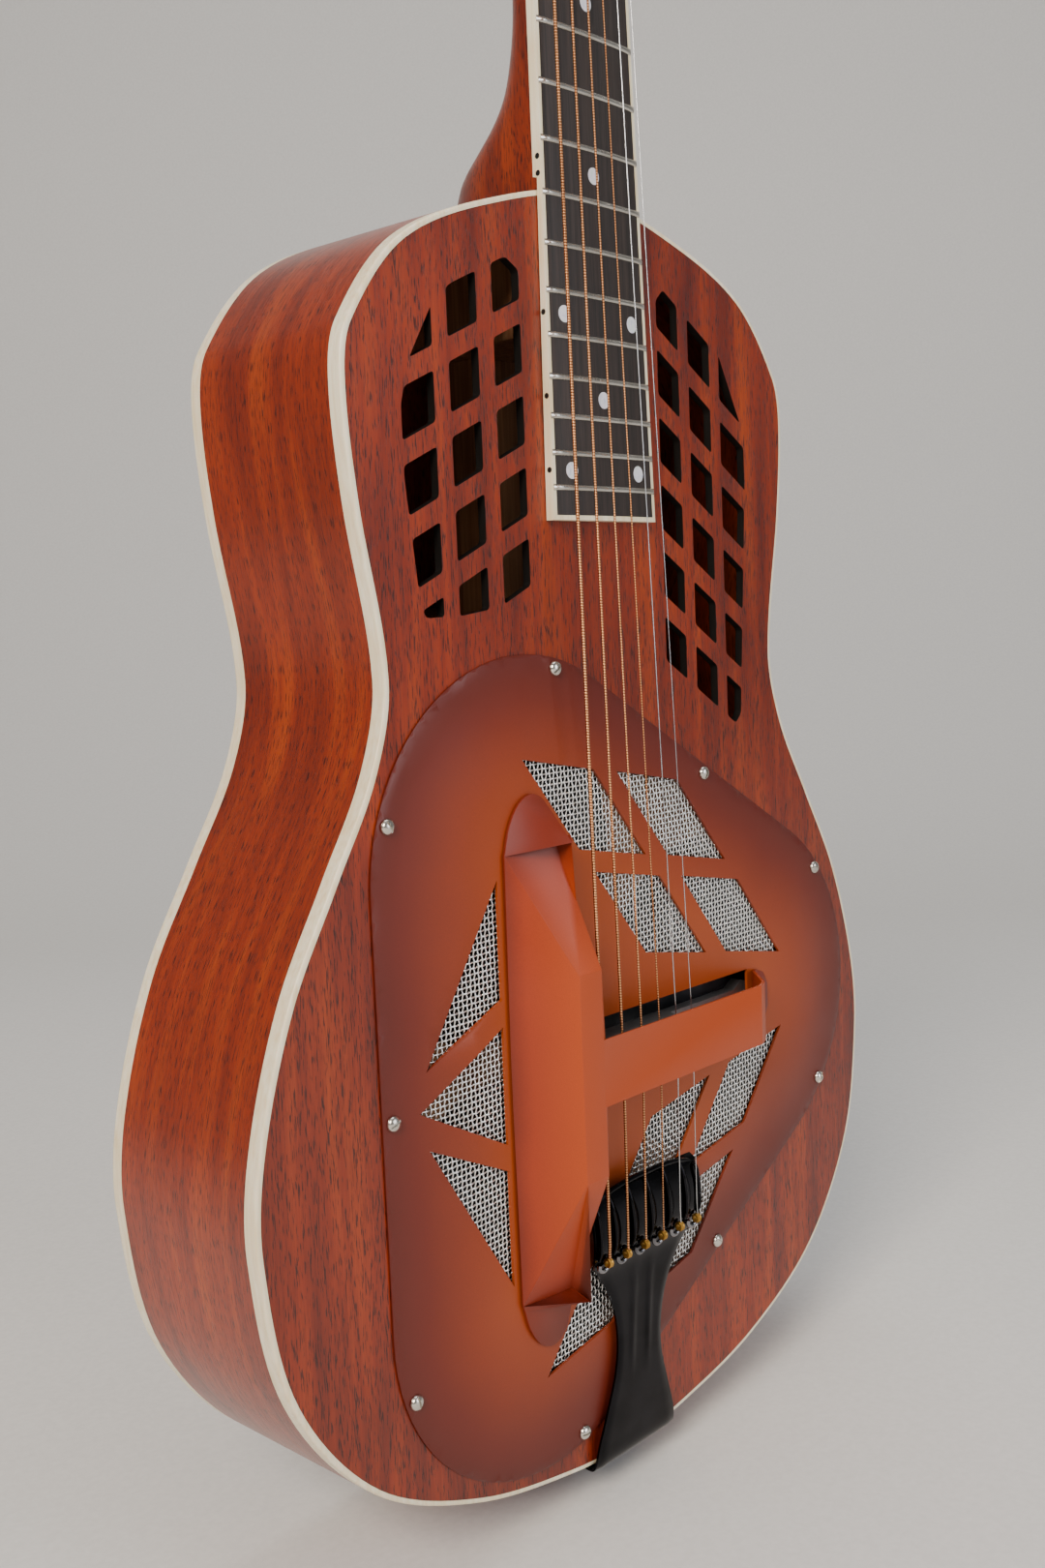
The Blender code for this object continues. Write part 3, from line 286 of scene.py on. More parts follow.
# %% Wound bronze
def wound(name, colour, groove_shade, pitch_mm):
    made, tree, shader = finish(name, 0.28, 1.0)
    where = add(tree, "ShaderNodeTexCoord", {}, out="Object")
    spaced = add(tree, "ShaderNodeMapping", {"Vector": where, "Scale": [1 / (pitch_mm * 3.2 * MM)] * 3})
    wave = add(tree, "ShaderNodeTexWave", {"Vector": spaced, "Scale": 0.5, "Distortion": 0.15,
                                              "Detail": 1.0},
               out="Fac", bands_direction="Z", wave_profile="SIN")
    # Painted shade: the colour darkens into the groove between wraps.
    base = add(tree, "ShaderNodeValToRGB", {"Fac": wave}, stops=[(0.1, groove_shade), (0.55, colour)])
    plug(tree, shader, {
        "Base Color": dirtied(tree, base, mottled(tree, where, (9, 9, 30), 3.0), 0.3, 0.65, "#B09880", 0.5),
        "Normal": add(tree, "ShaderNodeBump", {"Height": wave, "Distance": 0.12 * MM, "Strength": 0.8})})
    return made


BRONZE_WRAP = wound("bronze_wound_string", "#E2A878", "#7A4526", 0.5)
print("wound string", BRONZE_WRAP.name)

# %% [markdown]
# ## Pearl
# The inlaid dots are mother of pearl, sawn thin from shell: pale, with soft colour that shifts between
# its layers. Twisted noise with three pale tints gives the layers, and a clear coat the polish.

# %% Pearl
PEARL, tree, shader = finish("mother_of_pearl", 0.18, Coat_Weight=0.6, Coat_Roughness=0.08)
layer = mottled(tree, add(tree, "ShaderNodeTexCoord", {}, out="Object"), (2.5, 2.5, 4), 4.0, distortion=1.6)
plug(tree, shader, {
    "Base Color": add(tree, "ShaderNodeValToRGB", {"Fac": layer},
                      stops=[(0.25, "#B9C4D6"), (0.5, "#E6E3EC"), (0.72, "#CFE0D8")]),
    "Normal": add(tree, "ShaderNodeBump", {"Height": layer, "Distance": 0.02 * MM, "Strength": 0.3})})
print("pearl ready")

# %% [markdown]
# ## Mesh helpers
# A luthier's parts are sawn, bent, turned or drawn, and each way leaves a plain form: a flat sheet with
# holes, a skin through sections, a lathe profile or a wire. Box modelling would need every vertex placed,
# so these four forms are written once and take real measures. Hard edges are marked by their angle.

# %% Mesh helpers
def piece(name, body, verts, faces, materials, angle=35.0, which=None, replaces=(), attributes=None,
          slot=None):
    """A mesh in millimetres that rides on a body, if one is named. which picks each face's material."""
    mesh = bpy.data.meshes.new(name)
    mesh.from_pydata([[c * MM for c in v] for v in verts], [], faces)
    for material in materials:
        mesh.materials.append(material)
    if which:
        mesh.polygons.foreach_set("material_index", which)
    for key, (kind, values) in (attributes or {}).items():
        layer = mesh.attributes.new(key, kind, "POINT")
        layer.data.foreach_set("vector" if kind == "FLOAT_VECTOR" else "value", values)
    bm = bmesh.new()
    bm.from_mesh(mesh)
    bmesh.ops.remove_doubles(bm, verts=bm.verts, dist=2e-6)
    bmesh.ops.recalc_face_normals(bm, faces=bm.faces)
    for face in bm.faces:
        face.smooth = True
    for edge in bm.edges:
        edge.smooth = len(edge.link_faces) == 2 and edge.calc_face_angle(0.0) < math.radians(angle)
    bm.to_mesh(mesh)
    bm.free()
    made = bpy.data.objects.new(name, mesh)
    bpy.context.scene.collection.objects.link(made)
    if body:
        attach(made, body)
    if replaces:
        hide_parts(*replaces)
    return made


def grid_faces(rows, columns, wrap_rows=False, wrap_columns=True):
    """Quads of a net of points listed row by row."""
    faces = []
    for r in range(rows - (0 if wrap_rows else 1)):
        for c in range(columns - (0 if wrap_columns else 1)):
            a, b = r * columns + c, r * columns + (c + 1) % columns
            n = (r + 1) % rows * columns
            faces.append([a, b, n + (c + 1) % columns, n + c])
    return faces


def loft(name, body, loops, materials, closed=False, caps=True, **extra):
    """Skin through loops of equal count."""
    count = len(loops[0])
    verts = [p for loop in loops for p in loop]
    faces = grid_faces(len(loops), count, wrap_rows=closed)
    if not closed and caps:
        faces += [list(range(count)), list(range(len(verts) - count, len(verts)))]
    return piece(name, body, verts, faces, materials, **extra)


print("loft ready")

# %% [markdown]
# ## Sheets with holes
# Top, back, cover and head are flat stock with openings sawn through. Filling the outline with triangles
# that respect every hole gives both faces at once, and the walls join them, so the sheet is watertight.

# %% Sheets with holes
def inside(point, loop):
    """Whether a point lies within an outline."""
    odd = False
    for (ax, ay), (bx, by) in zip(loop, loop[1:] + loop[:1]):
        if (ay > point[1]) != (by > point[1]) and point[0] < (bx - ax) * (point[1] - ay) / (by - ay) + ax:
            odd = not odd
    return odd


def sheet(name, body, outer, holes, front, back, materials, extra=(), wall=0, place=None, burst=None,
          **more):
    """A sheet with holes between two depth functions; its walls take material number wall."""
    points, edges = [], []
    for loop in [outer, *holes]:
        start = len(points)
        points += [Vector(p) for p in loop]
        edges += [(start + i, start + (i + 1) % len(loop)) for i in range(len(loop))]
    points += [Vector(p) for p in extra]
    flat, _, tris, origin, _, _ = delaunay_2d_cdt(points, edges, [], 1, 1e-7)
    where_now = {old: new for new, olds in enumerate(origin) for old in olds}
    kept = [list(t) for t in tris
            if not any(inside(sum((flat[i] for i in t), Vector((0, 0))) / 3, hole) for hole in holes)]
    n = len(flat)
    verts = [(x, front(x, z), z) for x, z in flat] + [(x, back(x, z), z) for x, z in flat]
    faces = kept + [[i + n for i in reversed(t)] for t in kept]
    which = [0] * len(faces)
    start = 0
    for loop in [outer, *holes]:
        ids = [where_now[start + i] for i in range(len(loop))]
        ring = [[a, b, b + n, a + n] for a, b in zip(ids, ids[1:] + ids[:1])]
        faces += ring
        which += [wall if loop is not outer else 0] * len(ring)
        start += len(loop)
    if burst:
        more["attributes"] = {"burst": ("FLOAT", [burst(x, z) for x, z in flat] * 2)}
    if place:
        verts = [place(*v) for v in verts]
    return piece(name, body, verts, faces, materials, which=which, **more)


def circle(x, z, radius, steps):
    angles = [math.tau * i / steps for i in range(steps)]
    return [(x + radius * math.cos(a), z + radius * math.sin(a)) for a in angles]


print("sheet ready")

# %% [markdown]
# ## Turned pieces and wires
# Screws, posts and buttons come off a lathe, so a profile spun round an axis is their real shape. Strings
# and beads are round wire. A curve with bevel would do for them too, but a mesh can be carved later.

# %% Turned pieces and wires
def turned(name, body, profile, materials, place, steps=32, **extra):
    """A lathe piece. profile holds (radius, along); place maps (a, along, b) to the guitar."""
    angles = [math.tau * i / steps for i in range(steps)]
    loops = [[place(max(r, 1e-3) * math.cos(a), along, max(r, 1e-3) * math.sin(a)) for a in angles]
             for r, along in profile]
    return loft(name, body, loops, materials, **extra)


def tube(name, body, path, radius, materials, sides=10, **extra):
    """Round wire along a path of points; radius is a number or a function of the step."""
    loops = []
    last_side = None
    for i, p in enumerate(path):
        run = (Vector(path[min(i + 1, len(path) - 1)]) - Vector(path[max(i - 1, 0)])).normalized()
        side = last_side if last_side is not None else run.orthogonal()
        side = (side - run * side.dot(run)).normalized()
        up = run.cross(side)
        r = radius(i) if callable(radius) else radius
        angles = [math.tau * k / sides for k in range(sides)]
        loops.append([Vector(p) + side * (r * math.cos(a)) + up * (r * math.sin(a)) for a in angles])
        last_side = side
    return loft(name, body, loops, materials, angle=60.0, **extra)


def paint(node_name, material):
    """A better finish on a CAD node that keeps its own mesh."""
    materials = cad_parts[node_name].data.materials
    materials.clear()
    materials.append(material)


G = "guitar"
print("turned, tube and paint ready; everything fixed rides on", G)

# %% [markdown]
# ## The body outline
# The sides are bent over a hot iron, so the outline has no corners. A Bezier curve would need handles
# set by hand; a smooth curve through the measured half widths needs only the widths.
# It sits a tenth of a millimetre inside, so the rounded model never grows past the CAD box.

# %% Body outline
FRONT, BACK = -41.0, 41.0
BODY_HALF = [(0, 507), (50, 497.6), (96, 478.7), (122, 449), (126.3, 430), (123.4, 391), (114, 331),
             (121.6, 300), (141, 266), (162, 229), (176.7, 184), (179.6, 150), (168.9, 97),
             (135.9, 53), (87.4, 27.6), (34.7, 15.5), (0, 13)]
BINDING_W, BINDING_H, PLATE_T, GAP = 2.0, 6.0, 3.6, 0.3
OUTLINE_STEPS = 10


def curve_through(keys, steps, closed=False):
    """Smooth curve through points of any dimension, with tangents shared out by chord length."""
    keys = [Vector(k) for k in keys]
    n = len(keys)
    made = []
    for i in range(n if closed else n - 1):
        p1, p2 = keys[i], keys[(i + 1) % n]
        p0 = keys[i - 1] if closed or i else 2 * p1 - p2
        p3 = keys[(i + 2) % n] if closed or i + 2 < n else 2 * p2 - p1
        before, span, after = (p1 - p0).length, (p2 - p1).length, (p3 - p2).length
        m1 = (p2 - p0) / (before + span) * span
        m2 = (p3 - p1) / (span + after) * span
        for k in range(steps):
            t = k / steps
            made.append(p1 * (2 * t**3 - 3 * t * t + 1) + m1 * (t**3 - 2 * t * t + t)
                        + p2 * (3 * t * t - 2 * t**3) + m2 * (t**3 - t * t))
    return made if closed else made + [keys[-1]]


body_curve = curve_through(BODY_HALF + [(-x, z) for x, z in reversed(BODY_HALF[1:-1])], OUTLINE_STEPS, True)


def body_loop(inset):
    loop = []
    for i, p in enumerate(body_curve):
        run = (body_curve[(i + 1) % len(body_curve)] - body_curve[i - 1]).normalized()
        loop.append((p.x + run.y * (inset + 0.1), p.y - run.x * (inset + 0.1)))
    return loop


def body_ring(name, section, materials, replaces, slot, grain=False):
    """A band that follows the outline. section holds (inset, depth) pairs in order."""
    loops = [[(x, y, z) for x, z in body_loop(inset)] for inset, y in section]
    attributes = None
    if grain:
        walk = [0.0]
        for a, b in zip(body_curve, body_curve[1:]):
            walk.append(walk[-1] + (b - a).length)
        flat = [c * MM for inset, y in section for run in walk for c in (inset, y, run)]
        attributes = {"grain": ("FLOAT_VECTOR", flat)}
    loft(name, G, loops, materials, closed=True, replaces=(replaces,), attributes=attributes, slot=slot)


print("outline points", len(body_curve))

# %% [markdown]
# ## Binding, sides and back
# Binding is a strip let into the corner of the body to seal the end grain. It is scraped round outside,
# with a radius of about a millimetre. Bands swept round the outline keep both true to it all the way.
# The side's grain coordinates run along the bend, so its pores follow the curve.

# %% Binding, sides and back
for name, face, way in (("front", FRONT, 1), ("back", BACK, -1)):
    round_corner = [(1.1 - 1.1 * math.sin(a), face + way * (1.1 - 1.1 * math.cos(a)))
                    for a in (math.radians(15 * k) for k in range(7))]
    body_ring(f"binding_{name}", [(BINDING_W, face)] + round_corner
              + [(0, face + way * BINDING_H), (BINDING_W, face + way * BINDING_H)],
              [IVORY], f"{name}_binding", "ivory_binding")

edge_in, rim_low, lining = BINDING_W + GAP, BINDING_H + 0.05, PLATE_T + GAP
half_rim = [(0, FRONT + rim_low), (edge_in, FRONT + rim_low), (edge_in, FRONT + lining),
            (7, FRONT + lining),
            (7, FRONT + lining + 5.4), (3, FRONT + lining + 9)]
body_ring("bent_side", half_rim + [(inset, -y) for inset, y in reversed(half_rim)], [RIM_WOOD], "side_rim",
          "rim_wood", grain=True)

sheet("back_board", G, body_loop(edge_in - 0.2), [], lambda x, z: BACK, lambda x, z: BACK - PLATE_T,
      [BACK_WOOD], replaces=("back_plate",), slot="rim_wood")
for node in ("neck_block", "tail_block", "neck_stick", "lower_back_brace", "upper_back_brace", "soundwell"):
    paint(node, INNER_WOOD)
print("body shell pieces", 4)

# %% [markdown]
# ## Shared outline of well and cover
# The cover has to span three cones, so its outline is a belt round three circles, and the well's mouth
# is the same belt, smaller. Arcs and straight belts are computed: a spline through points would ripple.
# Nine screws sit 4 mm inside the edge.

# %% Cover outline
BRIDGE_Z, CONE_PITCH, BASS_X = 181.0, 154.0, -47.0
TREBLE_X = BASS_X + CONE_PITCH * math.sqrt(3) / 2
LOBES = [(BASS_X, BRIDGE_Z + CONE_PITCH / 2), (BASS_X, BRIDGE_Z - CONE_PITCH / 2), (TREBLE_X, BRIDGE_Z)]
COVER_R, WELL_R, COVER_T, COVER_RISE, COVER_RAMP = 78.5, 71.0, 1.2, 2.6, 45.0


def smooth(t):
    t = min(max(t, 0.0), 1.0)
    return t * t * (3 - 2 * t)


def lobes(radius, steps, straight=1):
    """Belt round the three circles: arcs in steps, and straight stretches in parts."""
    loop = []
    for lobe, start in ((2, -60), (0, 60), (1, 180)):
        (x, z), (ahead_x, ahead_z) = LOBES[lobe], LOBES[(lobe + 1) % 3]
        for i in range(steps + 1):
            a = math.radians(start + 120.0 * i / steps)
            loop.append((x + radius * math.cos(a), z + radius * math.sin(a)))
        for i in range(1, straight):
            t = i / straight
            loop.append((x + radius * math.cos(a) + (ahead_x - x) * t,
                         z + radius * math.sin(a) + (ahead_z - z) * t))
    return loop


def inset_of(x, z):
    """How far a point lies inside the cover's edge."""
    (ax, az), (bx, bz) = LOBES[0], LOBES[2]
    zz = BRIDGE_Z + abs(z - BRIDGE_Z)
    nx, nz = 0.5, math.sqrt(3) / 2
    along = (x - ax) * nz - (zz - az) * nx
    if x < ax:
        away = math.dist((x, zz), (ax, az)) if zz > az else ax - x
    elif along < 0:
        away = math.dist((x, zz), (ax, az)) if zz > az else 0.0
    elif along > CONE_PITCH:
        away = math.dist((x, zz), (bx, bz))
    else:
        away = (x - ax) * nx + (zz - az) * nz
    return max(COVER_R - max(away, 0.0), 0.0)


def cover_face(x, z):
    return FRONT - GAP - COVER_T - COVER_RISE * smooth(inset_of(x, z) / COVER_RAMP)


def mirror(loop):
    return [(x, 2 * BRIDGE_Z - z) for x, z in reversed(loop)]


def raised(loop):
    return [(x, BRIDGE_Z + z) for x, z in loop]


upper_windows = []
for i in (0, 1):
    for j in (0, 1):
        x, z = -52.5 + 54.0 * i + 38.0 * j, 117.7 - 9.7 * i - 46.9 * j
        upper_windows.append(raised([(x, z), (x + 29.5, z - 37.0), (x + 69.5, z - 44.5),
                                     (x + 40.0, z - 7.5)]))
outer_triangle = raised([(-68.5, 76.0), (-68.5, 32.0), (-106.0, 14.0)])
side_windows = [outer_triangle, raised([(-68.5, 22.0), (-68.5, -22.0), (-109.5, 0.0)]),
                mirror(outer_triangle)]
saddle_slot = raised([(-35.6, -13.5), (84, -13.5), (84, 13.5), (-35.6, 13.5)])

screw_ring = COVER_R - 4.0
screw_spots = [(BASS_X - screw_ring, BRIDGE_Z)]
for sign in (1, -1):
    for (x, z), degrees in ((LOBES[0], 77.0), (LOBES[0], 161.0), (LOBES[2], 41.5)):
        rise = z - BRIDGE_Z + screw_ring * math.sin(math.radians(degrees))
        screw_spots.append((x + screw_ring * math.cos(math.radians(degrees)), BRIDGE_Z + sign * rise))
    slope = (LOBES[0][0] + LOBES[2][0]) / 2 + screw_ring * 0.5 + 3.0
    screw_spots.append((slope, BRIDGE_Z + sign * (CONE_PITCH / 4 + (screw_ring - 2.0) * math.sqrt(3) / 2)))
screw_spots.sort(key=lambda s: (-s[1], s[0]))
screw_holes = [circle(x, z, 1.4, 16) for x, z in screw_spots]
print("windows", len(upper_windows) * 2 + len(side_windows), "screws", len(screw_spots))

# %% [markdown]
# ## Soundboard and its two grilles
# Each grille is sawn through the ply in columns of slanted windows, clipped to a rounded outline, and its
# edges are painted black. Cutting with booleans leaves slivers, so the windows are holes in the outline
# from the start, and the triangles grow round them. A saw's turn rounds each corner a little.

# %% Soundboard
def clip(loop, region):
    """Part of a window inside a convex region that runs the same way round."""
    for (ax, az), (bx, bz) in zip(region, region[1:] + region[:1]):
        kept = []
        for (px, pz), (qx, qz) in zip(loop, loop[1:] + loop[:1]):
            p = (bx - ax) * (pz - az) - (bz - az) * (px - ax)
            q = (bx - ax) * (qz - az) - (bz - az) * (qx - ax)
            if p >= 0:
                kept.append((px, pz))
            if (p >= 0) != (q >= 0):
                kept.append((px + p / (p - q) * (qx - px), pz + p / (p - q) * (qz - pz)))
        loop = kept
        if len(loop) < 3:
            return []
    return loop


def area(loop):
    return abs(sum(a[0] * b[1] - b[0] * a[1] for a, b in zip(loop, loop[1:] + loop[:1]))) / 2


def grille(side, columns, first, pitch, tall, slope, rows, region):
    region = [(side * x, z + 185.0) for x, z in region][::side]
    windows = []
    for low, high in columns:
        for row in range(rows):
            top = [first - pitch * row - slope * (x - 40.0) + 185.0 for x in (low, high)]
            loop = [(side * low, top[0] - tall), (side * high, top[1] - tall), (side * high, top[1]),
                    (side * low, top[0])][::side]
            loop = clip(loop, region)
            if loop and area(loop) > 30.0:
                windows.append(loop)
    return windows


grilles = grille(1, [(39.6, 53.2), (59.8, 74.2), (80.8, 98.0)], 294.3, 26.35, 17.6, 0.62, 6,
                 [(39.6, 130), (86, 115.5), (90.5, 120), (97.4, 215), (97.4, 233), (95.6, 241.6),
                  (80.3, 270.6), (73.1, 278.2), (59.6, 286.4), (51, 290.6), (45, 292.2), (39.6, 287)])
grilles += grille(-1, [(39.8, 54.0), (62.0, 76.8), (84.4, 100.2)], 295.5, 25.5, 17.2, 0.455, 5,
                  [(39.8, 171), (75, 166.5), (93, 166), (95.5, 170), (100.4, 215), (100.6, 236),
                   (95.8, 252.5), (84.8, 270.4), (76.9, 278.2), (62.4, 286.8), (54.6, 290.6), (46, 292.2),
                   (39.8, 288.6)])


def rounded(loop, radius, steps=4):
    """Outline with each corner cut back by the radius and bridged with a curve."""
    made = []
    for i, here in enumerate(loop):
        here = Vector(here)
        before, after = Vector(loop[i - 1]) - here, Vector(loop[(i + 1) % len(loop)]) - here
        a = here + before.normalized() * min(radius, before.length * 0.45)
        b = here + after.normalized() * min(radius, after.length * 0.45)
        for k in range(steps + 1):
            t = k / steps
            made.append(tuple(a * (1 - t) ** 2 + here * (2 * t * (1 - t)) + b * t * t))
    return made


grilles = [rounded(window, 1.6) for window in grilles]
sheet("mahogany_top", G, body_loop(edge_in - 0.2), grilles + [lobes(WELL_R, 16)] + screw_holes,
      lambda x, z: FRONT, lambda x, z: FRONT + PLATE_T, [TOP_WOOD, BLACK_EDGE], wall=1,
      replaces=("soundboard",), slot="top_wood")
print("grille windows", len(grilles))

# %% [markdown]
# ## Pressed cover
# The cover is one steel pressing, domed by 2.6 mm, with its rim rolled over. Subdividing a flat sheet
# would round its windows, so rings of extra points inside the outline carry the dome instead.
# The burst attribute runs from 0 at the rim to 1 at 60 mm inside it.

# %% Pressed cover
EDGE_ROLL, BURST_MM = 0.7, 60.0


def cover_skin(x, z):
    return cover_face(x, z) + EDGE_ROLL * (1 - smooth(inset_of(x, z) / 1.4)) ** 2


def cover_back(x, z):
    return cover_face(x, z) + COVER_T


openings = upper_windows + [mirror(w) for w in upper_windows] + side_windows + [saddle_slot]
dome_rings = (78.2, 77.8, 77.1, 74.5, 70, 66, 62, 58, 54, 50, 46, 42, 38, 34)
dome = [(x, z) for r in dome_rings for x, z in lobes(r, 22, 20)
        if not any(inside((x, z), w) for w in openings + screw_holes)]
cover = sheet("pressed_cover", G, lobes(COVER_R, 26, 24), openings + screw_holes, cover_skin, cover_back,
              [COVER_COAT], extra=dome, burst=lambda x, z: inset_of(x, z) / BURST_MM, angle=50,
              replaces=("coverplate",), slot="cover_coat")
print("cover points", len(cover.data.vertices))

# %% [markdown]
# ## Woven wire screens
# Nickel-plated wire of 0.7 mm is woven at a pitch of 2.1 mm behind every window, to keep fingers off the
# cones and let the sound out. A bump map of weave would look printed when seen at a slant. So each wire
# is a real one: it weaves over and under the wires that cross it, and is trimmed to its sheet's outline.

# %% Woven wire screens
WIRE_PITCH, WIRE_R = 2.1, 0.35
FIRST = Vector((-52.5, 117.7))
LAST = Vector((-52.5 + 54.0 + 40.0, 117.7 - 9.7 - 7.5))
DOWN = Vector((38.0 + 29.5, -46.9 - 37.0))
upper_sheet = raised([(FIRST.x - 3, FIRST.y + 2), (FIRST.x + DOWN.x - 3, FIRST.y + DOWN.y - 3),
                      (LAST.x + DOWN.x + 4, LAST.y + DOWN.y - 3), (LAST.x + 2, LAST.y + 1)])
left_sheet = raised([(-64, 81), (-70, 82), (-110, 17), (-113.5, 0), (-110, -17), (-70, -82), (-64, -81)])


def crossings(loop, along, offset):
    """Where the line at this offset enters and leaves an outline; along is 0 for x lines, 1 for z lines."""
    hits = []
    for a, b in zip(loop, loop[1:] + loop[:1]):
        s, t = a[1 - along] - offset, b[1 - along] - offset
        if (s > 0) != (t > 0):
            hits.append(a[along] + (b[along] - a[along]) * s / (s - t))
    return sorted(hits)


def woven(name, outline, node):
    """Both sets of wires of one screen, as one mesh."""
    verts, faces = [], []
    sides, sink = 5, COVER_T + GAP + 2 * WIRE_R + 0.1
    for along in (0, 1):
        low = min(p[1 - along] for p in outline)
        high = max(p[1 - along] for p in outline)
        for number in range(math.ceil(low / WIRE_PITCH), math.floor(high / WIRE_PITCH) + 1):
            offset = number * WIRE_PITCH
            hits = crossings(outline, along, offset)
            if len(hits) < 2 or hits[-1] - hits[0] < 3 * WIRE_PITCH:
                continue
            first, last = (math.ceil(hits[0] / WIRE_PITCH * 2), math.floor(hits[-1] / WIRE_PITCH * 2))
            start = len(verts)
            for step in range(first, last + 1):
                s = step * WIRE_PITCH / 2
                over = 0.0 if step % 2 else (1 if (step // 2 + number + along) % 2 else -1)
                x, z = (s, offset) if along == 0 else (offset, s)
                y = cover_face(x, z) + sink + over * WIRE_R * 0.95
                for k in range(sides):
                    a = math.tau * k / sides
                    du, dy = WIRE_R * math.cos(a), WIRE_R * math.sin(a)
                    verts.append((x, y + dy, z + du) if along == 0 else (x + du, y + dy, z))
            count = last - first + 1
            faces += [[start + i for i in f] for f in grid_faces(count, sides)]
            faces += [[end + i for i in range(sides)] for end in (start, start + (count - 1) * sides)]
    made = piece(name, G, verts, faces, [WIRE], angle=180, replaces=(node,), slot="screen_nickel")
    return made


for name, outline, node in (("wire_screen_upper", upper_sheet, "screen_upper"),
                            ("wire_screen_lower", mirror(upper_sheet), "screen_lower"),
                            ("wire_screen_side", left_sheet, "screen_left")):
    print(name, len(woven(name, outline, node).data.vertices))

# %% [markdown]
# ## Cones, bridge and saddle
# The cones are spun aluminium, the bridge is cast and the saddle is maple. They could be modelled finer,
# but are only glimpsed through the slot, so they keep their CAD meshes and get their metals and maple.
# The cones' aluminium is coloured dark grey: painted shade of the closed well behind the screens.

# %% Cones, bridge and saddle
for node in ("cone_bass_upper", "cone_bass_lower", "cone_treble"):
    paint(node, ALUMINIUM_PAINTED_WELL_SHADE)
paint("t_bridge", CAST)
paint("saddle", MAPLE)

# %% [markdown]
# ## Hand rest
# One sheet of 1.2 mm metal, folded to a ridge with a radius of 3 mm, with a cross bar over the saddle.
# It keeps the player's hand off the saddle. The flat panels are laid out first, as on the bender's
# sheet, because one bevel then rounds every fold alike; the thickness comes last, as a modifier.

# %% Hand rest
REST_LOW = FRONT - GAP - COVER_T - COVER_RISE - GAP
REST_TOP, REST_T, BAR = FRONT - 22.5, 1.2, 12.5
foot = {"base_l": (-65.5, 84, 0), "base_r": (-38.5, 86, 0),
        "ridge_l": (-47.5, 39, 1), "ridge_r": (-36, 39, 1)}
tongue = curve_through([(-65.5, 84), (-62.5, 94), (-57, 102), (-50, 105), (-43.5, 102),
                        (-39.8, 94), (-38.5, 86)], 4)
bm = bmesh.new()
corners = {}


def corner(x, z, h):
    key = (round(x, 3), round(z, 3), round(h, 3))
    if key not in corners:
        y = REST_LOW + h * (REST_TOP - REST_LOW)
        corners[key] = bm.verts.new((x * MM, y * MM, (BRIDGE_Z + z) * MM))
    return corners[key]


for sign in (1, -1):
    p = {key: (x, sign * z, h) for key, (x, z, h) in foot.items()}
    panels = [
        [(x, sign * z, 0) for x, z in tongue],
        [p["base_l"], p["base_r"], p["ridge_l"]],
        [p["base_r"], (-37.35, sign * 64, 0.468), p["ridge_r"], p["ridge_l"]],
        [p["base_l"], p["ridge_l"], (-47.5, sign * BAR, 1), (-65.5, sign * BAR, 0)],
        [p["ridge_l"], p["ridge_r"], (-36, sign * BAR, 1), (-47.5, sign * BAR, 1)],
        [p["ridge_r"], (-33.5, sign * 39, 0.0), (-33.5, sign * BAR, 0.0), (-36, sign * BAR, 1)],
        [p["ridge_r"], (-37.35, sign * 64, 0.468), (-34.5, sign * 64, 0.0), (-33.5, sign * 39, 0.0)]]
    for panel in panels:
        bm.faces.new([corner(*q) for q in panel])
across = [(-65.5, 0), (-47.5, 1), (-36, 1), (66, 1), (72, 0.86), (86, 0.05), (89, 0)]
for (x0, h0), (x1, h1) in zip(across, across[1:]):
    bm.faces.new([corner(x0, BAR, h0), corner(x1, BAR, h1), corner(x1, -BAR, h1), corner(x0, -BAR, h0)])
tip = ((89, BAR), (94, 10.5), (97, 5), (97, -5), (94, -10.5), (89, -BAR))
bm.faces.new([corner(x, z, 0) for x, z in tip])
bmesh.ops.recalc_face_normals(bm, faces=bm.faces)
if sum(f.normal.y * f.calc_area() for f in bm.faces) > 0:
    bmesh.ops.reverse_faces(bm, faces=bm.faces)
folds = [e for e in bm.edges if len(e.link_faces) == 2 and e.calc_face_angle(0) > math.radians(8)]
bmesh.ops.bevel(bm, geom=folds, offset=3.0 * MM, segments=5, profile=0.5, affect="EDGES",
                clamp_overlap=True)
for face in bm.faces:
    face.smooth = True
mesh = bpy.data.meshes.new("hand_rest")
bm.to_mesh(mesh)
bm.free()
mesh.materials.append(REST_COAT)
# The coating's colour runs from dark at the low edges beside the cover to lightest on the ridge.
layer = mesh.attributes.new("burst", "FLOAT", "POINT")
rise = [(v.co.y / MM - REST_LOW) / (REST_TOP - REST_LOW) for v in mesh.vertices]
layer.data.foreach_set("value", [0.25 + 0.75 * h for h in rise])
rest = bpy.data.objects.new("hand_rest", mesh)
bpy.context.scene.collection.objects.link(rest)
solid = rest.modifiers.new("sheet", "SOLIDIFY")
solid.thickness, solid.offset, solid.use_even_offset = REST_T * MM, 1.0, True
round_edge = rest.modifiers.new("edges", "BEVEL")
round_edge.width, round_edge.segments, round_edge.limit_method = 0.35 * MM, 2, "ANGLE"
round_edge.angle_limit = math.radians(50)
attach(rest, G)
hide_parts("handrest")
print("hand rest folds", len(folds))

# %% [markdown]
# ## Cover screws
# Nine slotted round-head screws, 5.8 mm across, hold the cover. One screw could be copied nine times,
# but then every slot would point the same way; each is turned and sawn afresh, as a person leaves them.

